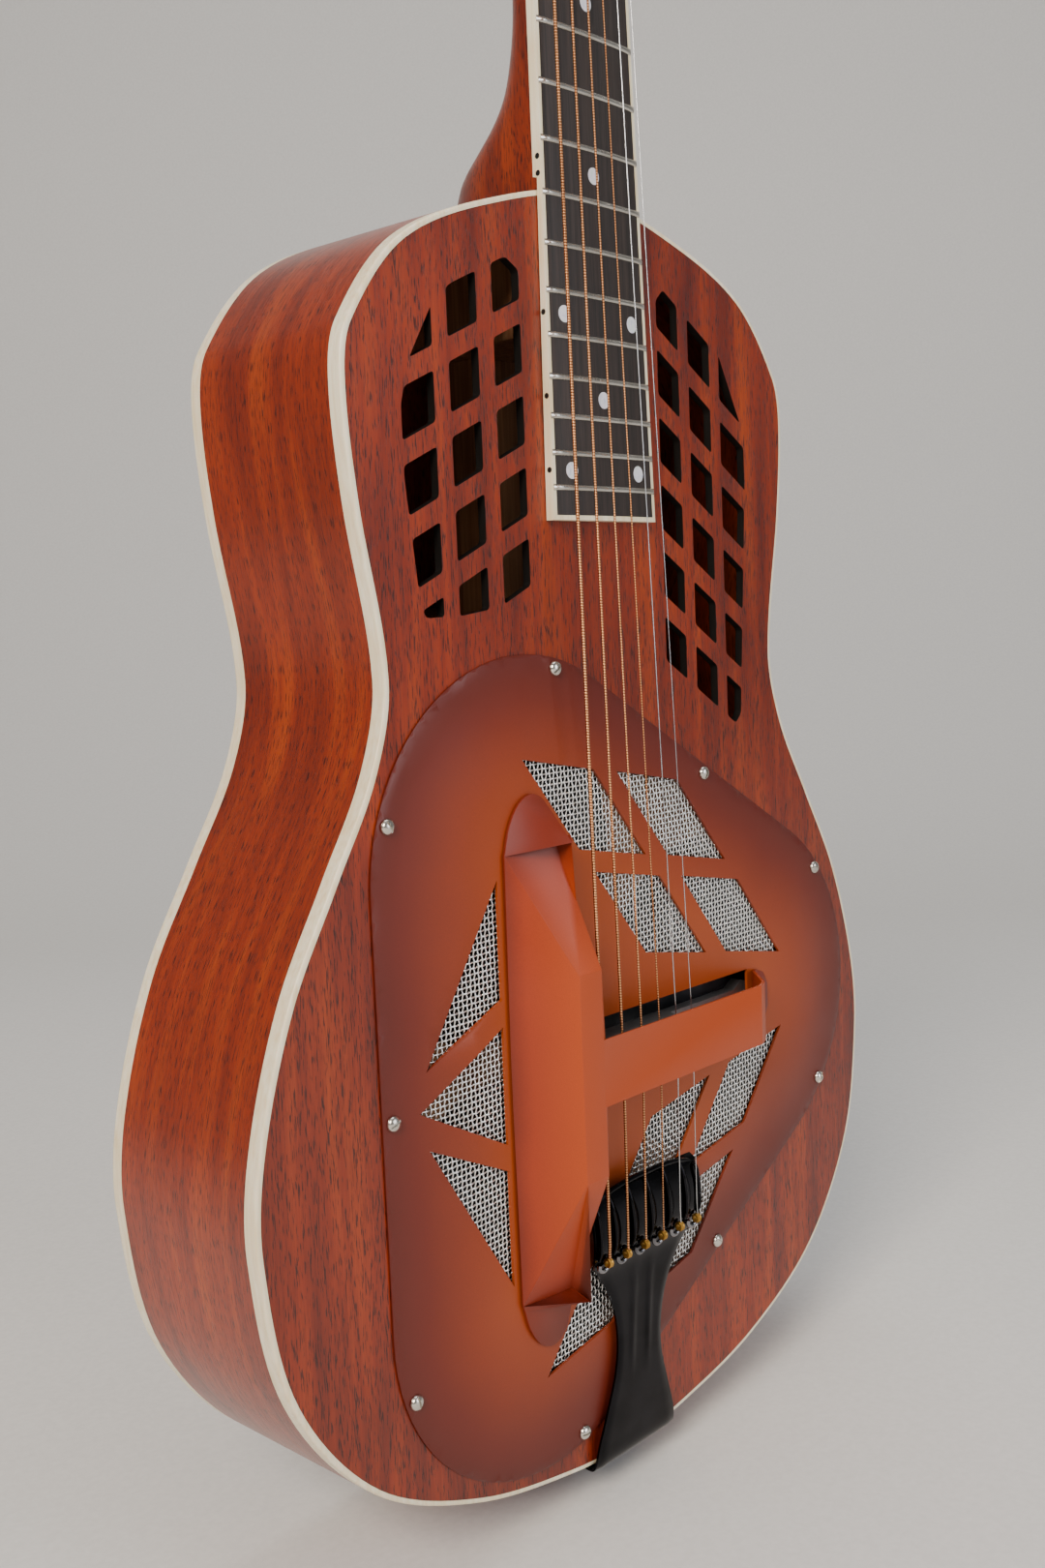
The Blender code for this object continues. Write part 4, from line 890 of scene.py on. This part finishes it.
# %% Cover screws
def carve(made, cutter):
    """Take a cutter piece out of a piece, then drop the cutter."""
    bpy.context.view_layer.update()
    modifier = made.modifiers.new("carve", "BOOLEAN")
    modifier.operation, modifier.solver, modifier.object = "DIFFERENCE", "EXACT", cutter
    graph = bpy.context.evaluated_depsgraph_get()
    cut_mesh = bpy.data.meshes.new_from_object(made.evaluated_get(graph))
    made.modifiers.clear()
    made.data = cut_mesh
    bpy.data.objects.remove(cutter, do_unlink=True)


def box_tool(low, high, turn=None, at=(0, 0, 0)):
    """A plain block to carve with, turned about Y and moved."""
    bm = bmesh.new()
    made = bmesh.ops.create_cube(bm, size=1.0)
    for v in made["verts"]:
        x, y, z = (low[i] + (v.co[i] + 0.5) * (high[i] - low[i]) for i in range(3))
        if turn is not None:
            x, z = x * math.cos(turn) - z * math.sin(turn), x * math.sin(turn) + z * math.cos(turn)
        v.co = [(c + a) * MM for c, a in zip((x, y, z), at)]
    mesh = bpy.data.meshes.new("tool")
    bm.to_mesh(mesh)
    bm.free()
    tool = bpy.data.objects.new("tool", mesh)
    bpy.context.scene.collection.objects.link(tool)
    return tool


for number, (x, z) in enumerate(screw_spots, 1):
    seat = cover_face(x, z) - GAP
    round_head = [(2.9 * math.sin(a), -1.9 * math.cos(a)) for a in (math.radians(15 * k) for k in range(7))]
    profile = round_head + [(1.15, 0.0), (1.15, 4.5), (0, 5.6)]
    screw = turned(f"cover_round_head_screw_{number}", G, profile, [NICKEL],
                   lambda a, along, b: (x + a, seat + along, z + b), steps=24,
                   replaces=(f"cover_screw_{number}",),
                   slot="nickel")
    carve(screw, box_tool((-3.2, -2.2, -0.42), (3.2, -1.0, 0.42), 0.7 * number, (x, seat, z)))

# %% [markdown]
# ## Fretboard
# Scale length sets every fret: fret n lies at the scale divided by two to the n twelfths from the bridge.
# The board is crowned to a radius of 305 mm and leans back from the body. Frets are hammered-in wire
# with a domed crown and filed ends, so each is lofted along the crown instead of bent from a straight bar.

# %% Fretboard and frets
SCALE, NUT_Z, SCALE_LINE = 635.0, 820.0, 185.0
BOARD_END, BODY_JOIN, BOARD_T, BOARD_BIND, CROWN_R, LEAN = 385.0, 507.7, 5.2, 1.8, 305.0, 0.0151


def half_width(z):
    return 23.0 + (NUT_Z - z) * 0.01622


def board_top(z):
    return FRONT - 3.65 + LEAN * (z - 502.5)


def board_face(x, z):
    return board_top(z) + x * x / (2 * CROWN_R)


def fret_z(number):
    return SCALE_LINE + SCALE * 2 ** (-number / 12)


loops = []
for z in (BOARD_END + BOARD_BIND + 0.1, 450, BODY_JOIN - 0.1, BODY_JOIN + 0.3, 580, 660, 740, NUT_Z):
    wide = half_width(z) - BOARD_BIND - 0.1
    under = FRONT - GAP if z < BODY_JOIN else board_top(z) + BOARD_T
    xs = [wide * (1 - k / 8) for k in range(17)]
    loops.append([(x, board_face(x, z), z) for x in xs] + [(-wide, under, z), (wide, under, z)])
loft("ebony_fretboard", G, loops, [EBONY], replaces=("fingerboard",), slot="ebony")
paint("fingerboard_binding", IVORY)

FRET_HIGH, FRET_HALF = 0.95, 1.15
for number in range(1, 20):
    z0 = fret_z(number)
    wide = half_width(z0) - 0.35
    loops = []
    for k in range(23):
        x = wide * (k / 11 - 1)
        high = FRET_HIGH * min(1.0, 0.35 + (wide - abs(x)) / 1.6)
        y0 = board_face(x, z0) + 0.05
        loops.append([(x, y0, z0 - FRET_HALF)] +
                     [(x, y0 - 0.1 - high * math.sin(a), z0 - FRET_HALF * math.cos(a))
                      for a in (math.radians(t) for t in (15, 45, 70, 90, 110, 135, 165))]
                     + [(x, y0, z0 + FRET_HALF)])
    loft(f"fret_{number}", G, loops, [NICKEL], angle=50, slot="nickel")

# Pearl dots in the board and black dots in the binding's bass side, where the player looks
MID, NEAR_PAIR, FAR_PAIR = (0,), (-11, 11), (-19.5, 19.5)
for number, spots in ((5, MID), (7, NEAR_PAIR), (9, MID), (12, MID), (15, FAR_PAIR), (17, MID),
                      (19, FAR_PAIR)):
    z0 = (fret_z(number) + fret_z(number - 1)) / 2
    for x0 in spots:
        sheet(f"pearl_dot_{number}_{'mid' if x0 == 0 else 'bass' if x0 < 0 else 'treble'}", G,
              circle(x0, z0, 3.1, 28), [], lambda x, z: board_face(x, z) - 0.04,
              lambda x, z: board_face(x, z) + 0.6, [PEARL], slot="bone")
for number, offsets in ((5, MID), (7, MID), (9, MID), (12, (-3, 3)), (15, MID), (17, MID), (19, MID)):
    for index, offset in enumerate(offsets):
        z0 = (fret_z(number) + fret_z(number - 1)) / 2 + offset
        turned(f"side_dot_{number}_{index + 1}", G, [(0, -0.06), (1.05, -0.06), (1.05, 0.5), (0, 0.5)],
               [BLACK_EDGE], lambda a, along, b: (along - half_width(z0), board_top(z0) + 2.7 + a, z0 + b),
               steps=20, slot="ebony")
print("frets", 19, "last at", round(fret_z(19), 1))

# %% [markdown]
# ## Neck, heel and head
# The shaft is whittled from one blank, so it is a smooth loft from nut to heel. The head is a slotted
# plate, glued on at the scarf joint and leaning back 12 degrees. It is drawn flat and then tilted, which
# is simpler than drawing it in place. Bores and string ramps are carved out as a drill and chisel would.

# %% Neck and head
HEAD_TILT = math.radians(12)
HEAD_Z = NUT_Z + 0.9
HEAD_Y = board_top(HEAD_Z) + BOARD_T + GAP - 1.5
SLOT_IN, SLOT_OUT, SLOT_LOW, SLOT_HIGH = 8.0, 25.5, 46.0, 156.0
ROLLER_UP, ROLLER_DEEP, HEAD_T, HEAD_HALF, HEAD_L = (64.0, 99.0, 134.0), 7.5, 16.0, 36.0, 186.0


def head_point(x, deep, up):
    """Side, depth below the head's face and height along it, to the guitar's axes."""
    c, s = math.cos(HEAD_TILT), math.sin(HEAD_TILT)
    return (x, HEAD_Y + deep * c + up * s, HEAD_Z - deep * s + up * c)


neck_keys = [(NUT_Z, 22.5, 15.5), (790, 22.9, 14.8), (700, 24, 15.5), (600, 25.8, 17), (570, 26.3, 18),
             (556, 26.4, 21), (543, 26.2, 27), (534, 25.8, 36), (526, 25, 48), (519, 24.5, 57),
             (512, 24.2, 61), (507.9, 24, 62)]
loops = []
for z, half, deep in curve_through(neck_keys, 5):
    half, near = half - 0.05, board_top(z) + BOARD_T + GAP
    arc = [math.radians(7.5 * k) for k in range(25)]
    ring = [(half * math.cos(a), near, z) for a in arc]
    loops.append(ring + [(half * math.cos(a), near + (deep - 0.1) * math.sin(a) ** 0.8, z)
                         for a in arc[-2:0:-1]])
loops[0] = [(x, y, HEAD_Z - GAP - (y - HEAD_Y) * math.tan(HEAD_TILT)) for x, y, z in loops[0]]
loops[-1] = [(x, y, z - 0.0052 * x * x) for x, y, z in loops[-1]]
count = len(loops[0])
faces = grid_faces(len(loops), count)
for k in (0, count * (len(loops) - 1)):
    strips = [[k + i, k + i + 1, k + count - i - 1, k + (count - i) % count] for i in range(24)]
    faces += [list(dict.fromkeys(strip)) for strip in strips]
neck = piece("neck_shaft_and_heel", G, [p for loop in loops for p in loop], faces, [NECK_WOOD], angle=50,
             replaces=("neck",), slot="neck_wood")


def head_outline(start):
    low = curve_through([(22.6, start), (23.6, 14), (27.5, 24), (33, 31), (HEAD_HALF - 0.1, 39)], 3)
    crown = [(HEAD_HALF - 0.1, 168), (34.5, 178), (26, 183), (12, HEAD_L - 0.1)]
    side = [tuple(p) for p in low] + crown
    return side + [(-x, z) for x, z in reversed(side)]


def slot_outline(low, side):
    r = (SLOT_OUT - SLOT_IN) / 2
    middle = (SLOT_IN + SLOT_OUT) / 2
    end = [(middle + r * math.cos(a), SLOT_HIGH - 0.35 * r + 0.35 * r * math.sin(a))
           for a in (math.radians(t) for t in range(0, 181, 15))]
    return [(side * x, z) for x, z in [(SLOT_IN, low), (SLOT_OUT, low)] + end]


head = sheet("slotted_head", G, head_outline(0), [slot_outline(SLOT_LOW, s) for s in (1, -1)],
             lambda x, z: 0,
             lambda x, z: HEAD_T, [NECK_WOOD], place=head_point, replaces=("headstock",), slot="neck_wood")
for side in (1, -1):
    wedge = [[(side * x, -2, 18), (side * x, 6, SLOT_LOW + 1), (side * x, -2, SLOT_LOW + 1)]
             for x in (SLOT_IN, SLOT_OUT)]
    tool = loft("tool", None, [[head_point(*q) for q in loop] for loop in wedge], [NECK_WOOD])
    carve(head, tool)
    for up in ROLLER_UP:
        tool = turned("tool", None, [(3.2, side * 2.6), (3.2, side * 40)], [NECK_WOOD],
                      lambda a, along, b: head_point(along, ROLLER_DEEP + a, up + b), steps=24)
        carve(head, tool)
edge = head.modifiers.new("edges", "BEVEL")
edge.width, edge.segments, edge.limit_method, edge.angle_limit = 0.8 * MM, 3, "ANGLE", math.radians(60)
sheet("head_face_veneer", G, head_outline(9), [slot_outline(20, s) for s in (1, -1)],
      lambda x, z: -GAP - 1.5, lambda x, z: -GAP, [EBONY], place=head_point, replaces=("head_veneer",),
      slot="ebony")
paint("truss_rod_cover", EBONY)
for up in (20.0, 41.0):
    turned(f"truss_cover_screw_{int(up)}", G,
           [(0, -0.55), (0.8, -0.5), (1.2, -0.1), (1.2, 0.4), (0, 0.4)], [NICKEL],
           lambda a, along, b: head_point(a, -2 * GAP - 2.5 + along, up + b), steps=16, slot="nickel")
paint("nut", BONE)
print("neck and head", len(neck.data.vertices), len(head.data.vertices))

# %% [markdown]
# ## Strings
# Two plain steel strings and four bronze-wound ones, each at its own gauge. They leave the comb of the
# tailpiece, pass over saddle and nut, and wind round their rollers. They are under tension, so straight
# runs with a slight turn at each support are truer than a curve. The windings turn with their roller.

# %% Strings
STRING_D = [0.32, 0.42, 0.61, 0.81, 1.07, 1.35]
COMB_Z, SLEEVE_R, POST_R = 108.5, 5.0, 3.0


def string_points(number):
    place = 1 - 2 * (number - 1) / 5.0
    r = STRING_D[number - 1] / 2
    lift = r + 0.15
    x_saddle = place * 28.5
    row, side = (number - 1, 1) if number <= 3 else (6 - number, -1)
    x_roller = side * (20.5 - 3.0 * row)
    arrive = head_point(x_roller, ROLLER_DEEP - SLEEVE_R - lift - 0.25, ROLLER_UP[row])
    return [Vector((place * 28.0, FRONT - 15.4 - lift, COMB_Z)),
            Vector((x_saddle, FRONT - 17.0 + x_saddle**2 / 600.0 - lift, BRIDGE_Z)),
            Vector((place * 18.5, board_face(place * 18.5, NUT_Z) - 1.6 - lift, NUT_Z + 0.7)),
            Vector(arrive)], r, x_roller, row


for number in range(1, 7):
    corners_at, r, x_roller, row = string_points(number)
    comb = corners_at[0]
    path = [Vector((comb.x, -57.0, 105.2)), Vector((comb.x, -56.9, 107.0)), comb.lerp(corners_at[1], 0.03)]
    for here, ahead in zip(corners_at, corners_at[1:]):
        fractions = (0.004, 0.04, 0.25, 0.5, 0.75, 0.97, 0.996)[2 if here is comb else 0:]
        path += [here.lerp(ahead, t) for t in fractions]
    path.append(corners_at[-1])
    tube(f"strung_string_{number}", G, path, r, [STEEL if number < 3 else BRONZE_WRAP], sides=12,
         replaces=(f"string_{number}",), slot="steel_string" if number < 3 else "bronze_string")
    # The windings lie side by side on the bone sleeve, next to where the strand lands, and turn with it
    coils, turns = [], 3.5
    toward = -1 if x_roller > 0 else 1
    for k in range(int(turns * 20) + 1):
        a = math.tau * k / 20
        x = x_roller + toward * (1 + k / 20) * (2 * r + 0.12)
        deep = ROLLER_DEEP - (SLEEVE_R + r + 0.03) * math.cos(a)
        coils.append(head_point(x, deep, ROLLER_UP[row] + (SLEEVE_R + r + 0.03) * math.sin(a)))
    tube(f"string_{number}_windings", f"tuner_roller_{number}", coils, r,
         [STEEL if number < 3 else BRONZE_WRAP], sides=8,
         slot="steel_string" if number < 3 else "bronze_string")
print("strings", 6, "thickest", STRING_D[-1])

# %% [markdown]
# ## Tuning machines
# Slotted-head machines: a plate on each side of the head, and in it three worms that turn bone-covered
# rollers through a fourteen-tooth wheel. Rings could stand in for the thread, but rings can't drive a
# wheel. Each worm is a real helix, and each turning part rides on its own body.

# %% Tuning machines
GEAR_X, GEAR_R, WORM_OFFSET, TEETH = 40.6, 6.0, 9.2, 14
for side, label in ((-1, "bass"), (1, "treble")):
    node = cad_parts[f"tuner_plate_{label}"]
    paint(f"tuner_plate_{label}", NICKEL)
    edge = node.modifiers.new("edges", "BEVEL")
    edge.width, edge.segments, edge.limit_method, edge.angle_limit = 0.25 * MM, 2, "ANGLE", math.radians(50)
    for up in (54.0, 88.0, 123.0, 152.0):
        profile = [(0, 2.3), (1.1, 2.2), (1.9, 1.7), (2.3, 1.25), (0.9, 1.25), (0.9, -4.0), (0, -5.0)]
        pin = turned(f"plate_screw_{label}_{int(up)}", G, profile, [NICKEL],
                     lambda a, along, b: head_point(side * (HEAD_HALF + GAP + along), 11.6 + a, up + b),
                     steps=20,
                     slot="nickel")
        carve(pin, box_tool((-0.8, -2.6, -0.22), (0.8, 2.6, 0.22), None,
                            head_point(side * (HEAD_HALF + GAP + 2.6), 11.6, up)))
    for row, up in enumerate(ROLLER_UP):
        number = row + 1 if side > 0 else 6 - row
        roller, worm = f"tuner_roller_{number}", f"tuner_worm_{number}"

        def on_roller(a, along, b):
            return head_point(side * along, ROLLER_DEEP + a, up + b)

        def on_worm(a, along, b):
            return head_point(side * GEAR_X + a, along, up + WORM_OFFSET + b)

        turned(f"{roller}_post", roller, [(0, 3.0), (2.7, 3.0), (POST_R, 3.3), (POST_R, GEAR_X - 1.6),
                                          (0, GEAR_X - 1.6)], [NICKEL], on_roller, steps=28,
               slot="nickel")
        ends = (SLOT_IN + GAP, SLOT_OUT - GAP)
        turned(f"{roller}_bone_sleeve", roller,
               [(POST_R, ends[0]), (SLEEVE_R - 0.4, ends[0]), (SLEEVE_R, ends[0] + 0.4),
                (SLEEVE_R - 0.12, (ends[0] + ends[1]) / 2), (SLEEVE_R, ends[1] - 0.4),
                (SLEEVE_R - 0.4, ends[1]), (POST_R, ends[1])], [BONE], on_roller, steps=40,
               replaces=(roller,), slot="roller_bone")
        rim = []
        for k in range(TEETH * 4):
            a = math.tau * (k - 0.5) / (TEETH * 4) + math.tau / (2 * TEETH)
            r = GEAR_R if k % 4 in (0, 1) else GEAR_R - 1.3
            rim.append((r * math.cos(a), r * math.sin(a)))
        loft(f"{roller}_brass_wheel", roller, [[on_roller(a, x, b) for a, b in rim]
                                               for x in (GEAR_X - 1.6, GEAR_X + 1.6)], [BRASS],
             slot="nickel")
        turned(f"{roller}_wheel_screw", roller, [(0, 2.6), (1.6, 2.5), (2.4, 2.0), (2.4, 1.5), (0, 1.5)],
               [NICKEL], lambda a, along, b: on_roller(a, GEAR_X + along, b), steps=20, slot="nickel")

        # Worm core with a helical thread of one turn for each tooth's width
        turned(f"{worm}_shaft", worm, [(0, 0.5), (1.7, 0.6), (1.8, 0.9), (1.8, 3.0), (1.45, 3.2),
                                       (1.45, 12.0), (1.8, 12.2), (1.8, 20.5), (0, 20.5)], [NICKEL],
               on_worm, steps=24, slot="nickel")
        pitch = math.tau * (GEAR_R - 0.65) / TEETH
        loops = []
        last = int(8.4 / pitch * 20)
        for k in range(last + 1):
            a = math.tau * k / 20
            y = 3.3 + pitch * k / 20
            crest = 1.4 + 0.85 * min(1.0, k / 8, (last - k) / 8)
            loops.append([on_worm(r * math.cos(a), y + dy, r * math.sin(a))
                          for r, dy in ((1.35, -0.7), (crest, -0.2), (crest, 0.2), (1.35, 0.7))])
        loft(f"{worm}_thread", worm, loops, [NICKEL], slot="nickel")
        stations = curve_through([(20.0, 2.4, 2.4), (21.2, 3.5, 3.4), (23.0, 5.0, 3.4), (27.0, 8.5, 3.05),
                                  (32.0, 9.1, 2.85), (36.0, 7.4, 2.5), (37.6, 4.6, 1.8), (38.0, 1.5, 0.7)], 3)
        loops = [[on_worm(thick * math.cos(math.tau * k / 28), y, wide * math.sin(math.tau * k / 28))
                  for k in range(28)] for y, wide, thick in stations]
        loft(f"{worm}_ivoroid_button", worm, loops, [BUTTON], angle=60, replaces=(worm,),
             slot="button_ivoroid")
print("machines", 6, "worm pitch", round(pitch, 2), "mm")

# %% [markdown]
# ## Tailpiece
# One stamping with a comb at the top, a waist, and a foot that folds over the butt to the end button.
# Its nickel plate is coloured near black: a painted reflection of a dark room. Two pressed ridges stiffen
# its middle. Sections along its bent spine make the sheet, because a flat plate bent by a modifier would
# stretch at the folds. Holes are drilled last.

# %% Tailpiece
spine = [(129, -50.5, 32.5), (127.6, -52.2, 32.9), (125, -53.2, 33), (116, -55, 33.2),
         (107, -54.8, 33), (101, -52.5, 31.5), (94, -50.6, 26), (84, -49.6, 19),
         (72, -48.6, 14.8), (60, -47.8, 13.5),
         (48, -47, 15), (34, -46, 19.5),
         (22, -45, 23.5), (14, -43.8, 25), (11.5, -41.4, 25), (11.2, -36, 24), (11.2, -24, 14),
         (11.2, -12, 8.5),
         (11.2, 6.9, 8)]
line = curve_through(spine, 5)
TAIL_T, ACROSS, COMB_HALF = 1.45, 24, 32
loops = []
for i, (z, y, half) in enumerate(line):
    a, b = line[max(i - 1, 0)], line[min(i + 1, len(line) - 1)]
    run = Vector((0, b[1] - a[1], b[0] - a[0])).normalized()
    inward = Vector((0, -run.z, run.y))
    ridge = smooth((z - 40) / 25) * smooth((98 - z) / 12) if y < -44 else 0.0
    front_edge, back_edge = [], []
    for k in range(ACROSS + 1):
        u = 2 * k / ACROSS - 1
        soft = 0.45 * max(0.0, abs(u) - 0.86) / 0.14
        swell = -0.35 * ridge * math.exp(-((abs(u) * half - 5.0) / 1.3) ** 2)
        p = Vector((u * half, y, z)) + inward * (soft + swell + 0.05)
        front_edge.append(p)
        back_edge.append(Vector((u * half, y, z)) + inward * TAIL_T)
    loops.append(front_edge + back_edge[::-1])
tail = loft("stamped_tailpiece", G, loops, [NICKEL_PAINTED_DARK_REFLECTION], angle=40, replaces=("tailpiece",),
            slot="dark_nickel")
for number in range(1, 7):
    x0 = 28.0 * (1 - 2 * (number - 1) / 5.0)
    carve(tail, turned("tool", None, [(1.6, -60.0), (1.6, -46.0)], [NICKEL_PAINTED_DARK_REFLECTION],
                       lambda a, along, b: (x0 + a, along, 104.5 + b), steps=20))
carve(tail, turned("tool", None, [(3.4, 6.0), (3.4, 16.0)], [NICKEL_PAINTED_DARK_REFLECTION],
                   lambda a, along, b: (a, b, along), steps=24))

# The comb's upper edge is a rolled bead, with a rib beside each string and a hook below it
bead = [Vector((x, -52.0 + 0.5 * (x / COMB_HALF) ** 2, 129.6 - 4.5 * (abs(x) / COMB_HALF) ** 3))
        for x in range(-COMB_HALF, COMB_HALF + 1, 2)]
tube("comb_rolled_bead", G, bead, 1.15, [NICKEL_PAINTED_DARK_REFLECTION], sides=14, slot="dark_nickel")
for number in range(7):
    x0 = max(-31.2, min(31.2, 28.0 * (1 - 2 * (number - 0.5) / 5.0)))
    rib_top = 128.6 - 4.0 * (abs(x0) / COMB_HALF) ** 3
    rib = curve_through([(x0, y, z) for z, y in ((rib_top, -52.4), (124, -54.3), (119, -55.4), (113, -55.9),
                                                 (108, -55.7), (104.5, -54.4))], 4)
    tube(f"comb_rib_{number + 1}", G, rib, 0.75, [NICKEL_PAINTED_DARK_REFLECTION], sides=10, slot="dark_nickel")
# The hooks are coloured lighter than the stamping: painted highlights on its glossy loops.
for number in range(1, 7):
    x0 = 28.0 * (1 - 2 * (number - 1) / 5.0)
    hook = [(x0 + 2.9 * math.cos(math.radians(t)), -55.2 - 1.6 * math.sin(math.radians(t / 2 + 135)),
             102.2 + 2.9 * math.sin(math.radians(t))) for t in range(170, 371, 10)]
    tube(f"comb_hook_{number}", G, hook, 0.95, [HOOK_NICKEL_PAINTED_HIGHLIGHT], sides=12, slot="dark_nickel")

# Each string's brass ball sits in its hook
for number in range(1, 7):
    x0, r = 28.0 * (1 - 2 * (number - 1) / 5.0), STRING_D[number - 1] / 2
    turned(f"string_{number}_ball_end", G,
           [(1.0, -1.2), (1.7, -1.1), (2.0, -0.6), (1.75, 0.0), (2.0, 0.6), (1.7, 1.1),
           (1.0, 1.2)], [BRASS],
           lambda a, along, b: (x0 + along, -56.4 + a, 103.4 + b), steps=24, closed=True,
           slot="nickel")
turned("strap_end_button", G, [(0, 0), (4.4, 0.1), (5.6, 0.5), (6.6, 1.3), (7.0, 2.4), (6.6, 3.5), (5.4, 4.8),
                               (4.7, 6.2), (4.7, 8.4), (5.6, 9.8), (6.2, 10.7), (3.0, 10.7), (3.0, 32.0),
                               (0, 33.5)], [NICKEL], lambda a, along, b: (a, b, along), steps=48,
       replaces=("end_button",), slot="nickel")
print("tailpiece points", len(tail.data.vertices))

# %% [markdown]
# ## Floor and backdrop
# A studio hangs a wide roll of pale paper and lets it sweep from wall to floor, so that no line shows
# behind the guitar. A plane and a wall would meet in a corner; one bent strip of faces has none.

# %% Floor and backdrop
PAPER, tree, shader = finish("pale_seamless_paper", 0.85)
where = add(tree, "ShaderNodeTexCoord", {}, out="Object")
tooth = mottled(tree, where, (3, 3, 3), 4.0)
plug(tree, shader, {"Base Color": add(tree, "ShaderNodeValToRGB", {"Fac": tooth},
                                      stops=[(0.3, "#DDDCD9"), (0.7, "#E4E3E0")])})
NEAR_EDGE, SWEEP_AT, SWEEP_R, WALL_TOP, PAPER_HALF = -7.0, 1.1, 0.9, 3.6, 7.5
bend = [(NEAR_EDGE, 0.0), (SWEEP_AT, 0.0)]
bend += [(SWEEP_AT + SWEEP_R * math.sin(a), SWEEP_R - SWEEP_R * math.cos(a))
         for a in (math.radians(t) for t in range(10, 91, 10))] + [(2.0, WALL_TOP)]
TURN = math.radians(46.8)
verts = []
for away, up in bend:
    for wide in (-PAPER_HALF, PAPER_HALF):
        verts.append((away * math.sin(TURN) + wide * math.cos(TURN),
                      away * math.cos(TURN) - wide * math.sin(TURN), up - 0.001))
mesh = bpy.data.meshes.new("seamless_paper")
mesh.from_pydata(verts, [], [[2 * i, 2 * i + 1, 2 * i + 3, 2 * i + 2] for i in range(len(bend) - 1)])
mesh.materials.append(PAPER)
for polygon in mesh.polygons:
    polygon.use_smooth = True
paper = bpy.data.objects.new("seamless_paper", mesh)
bpy.context.scene.collection.objects.link(paper)
print("paper sections", len(bend))

# %% [markdown]
# ## Lights
# Softboxes give broad highlights along the lacquer and soft shadows. Small lamps would leave hard glints,
# so three large rectangles are used: a warm key from the bass side, a cool fill in front and one above.

# %% Lights
def area_light(name, place, aim, size, power, colour="#FFFFFF"):
    lamp = bpy.data.lights.new(name, "AREA")
    lamp.shape, lamp.size, lamp.size_y, lamp.energy = "RECTANGLE", size[0], size[1], power
    lamp.color = linear(colour)[:3]
    made = bpy.data.objects.new(name, lamp)
    bpy.context.scene.collection.objects.link(made)
    made.location = place
    made.rotation_euler = (Vector(aim) - Vector(place)).to_track_quat("-Z", "Y").to_euler()
    return made


MIDDLE = (0, 0, 0.35)
area_light("key_softbox", (-1.7, -0.8, 1.35), MIDDLE, (0.8, 0.8), 50, "#FFF1E2")
area_light("front_fill", (0.5, -2.2, 0.9), MIDDLE, (1.3, 1.3), 22, "#F6F8FF")
area_light("top_softbox", (0.1, -0.1, 2.3), MIDDLE, (1.2, 1.2), 14)
world = bpy.data.worlds.new("pale_room")
world.use_nodes = True
world.node_tree.nodes["Background"].inputs["Color"].default_value = linear("#E9EAEC")
world.node_tree.nodes["Background"].inputs["Strength"].default_value = 0.3
bpy.context.scene.world = world
print("lights", len(bpy.data.lights))

# %% [markdown]
# ## Camera
# The lens is 36 mm, close to the body and to its bass side, a little above its middle, looking down at it
# and leaning slightly. Its axes are built from those angles, because a tracking aim can't lean.

# %% Camera
lens = bpy.data.cameras.new("camera")
LENS_MM, SENSOR_MM, PLACE = 35.86, 36.0, (-0.46375, -0.43068, 0.35111)
lens.lens, lens.sensor_width, lens.sensor_fit = LENS_MM, SENSOR_MM, "AUTO"
camera = bpy.data.objects.new("camera", lens)
bpy.context.scene.collection.objects.link(camera)
bpy.context.scene.camera = camera
turn, rise, lean = (math.radians(d) for d in (46.81, -6.20, -2.39))
forward = Vector((math.sin(turn) * math.cos(rise), math.cos(turn) * math.cos(rise), math.sin(rise)))
level = Vector((math.cos(turn), -math.sin(turn), 0))
above = level.cross(forward)
right = level * math.cos(lean) + above * math.sin(lean)
upward = above * math.cos(lean) - level * math.sin(lean)
basis = Matrix((right, upward, -forward)).transposed().to_4x4()
camera.matrix_world = Matrix.Translation(PLACE) @ basis
print("lens", LENS_MM, "mm")

# %% [markdown]
# ## Finish
# The script ends by printing how many materials were made.


print("materials", len(bpy.data.materials))
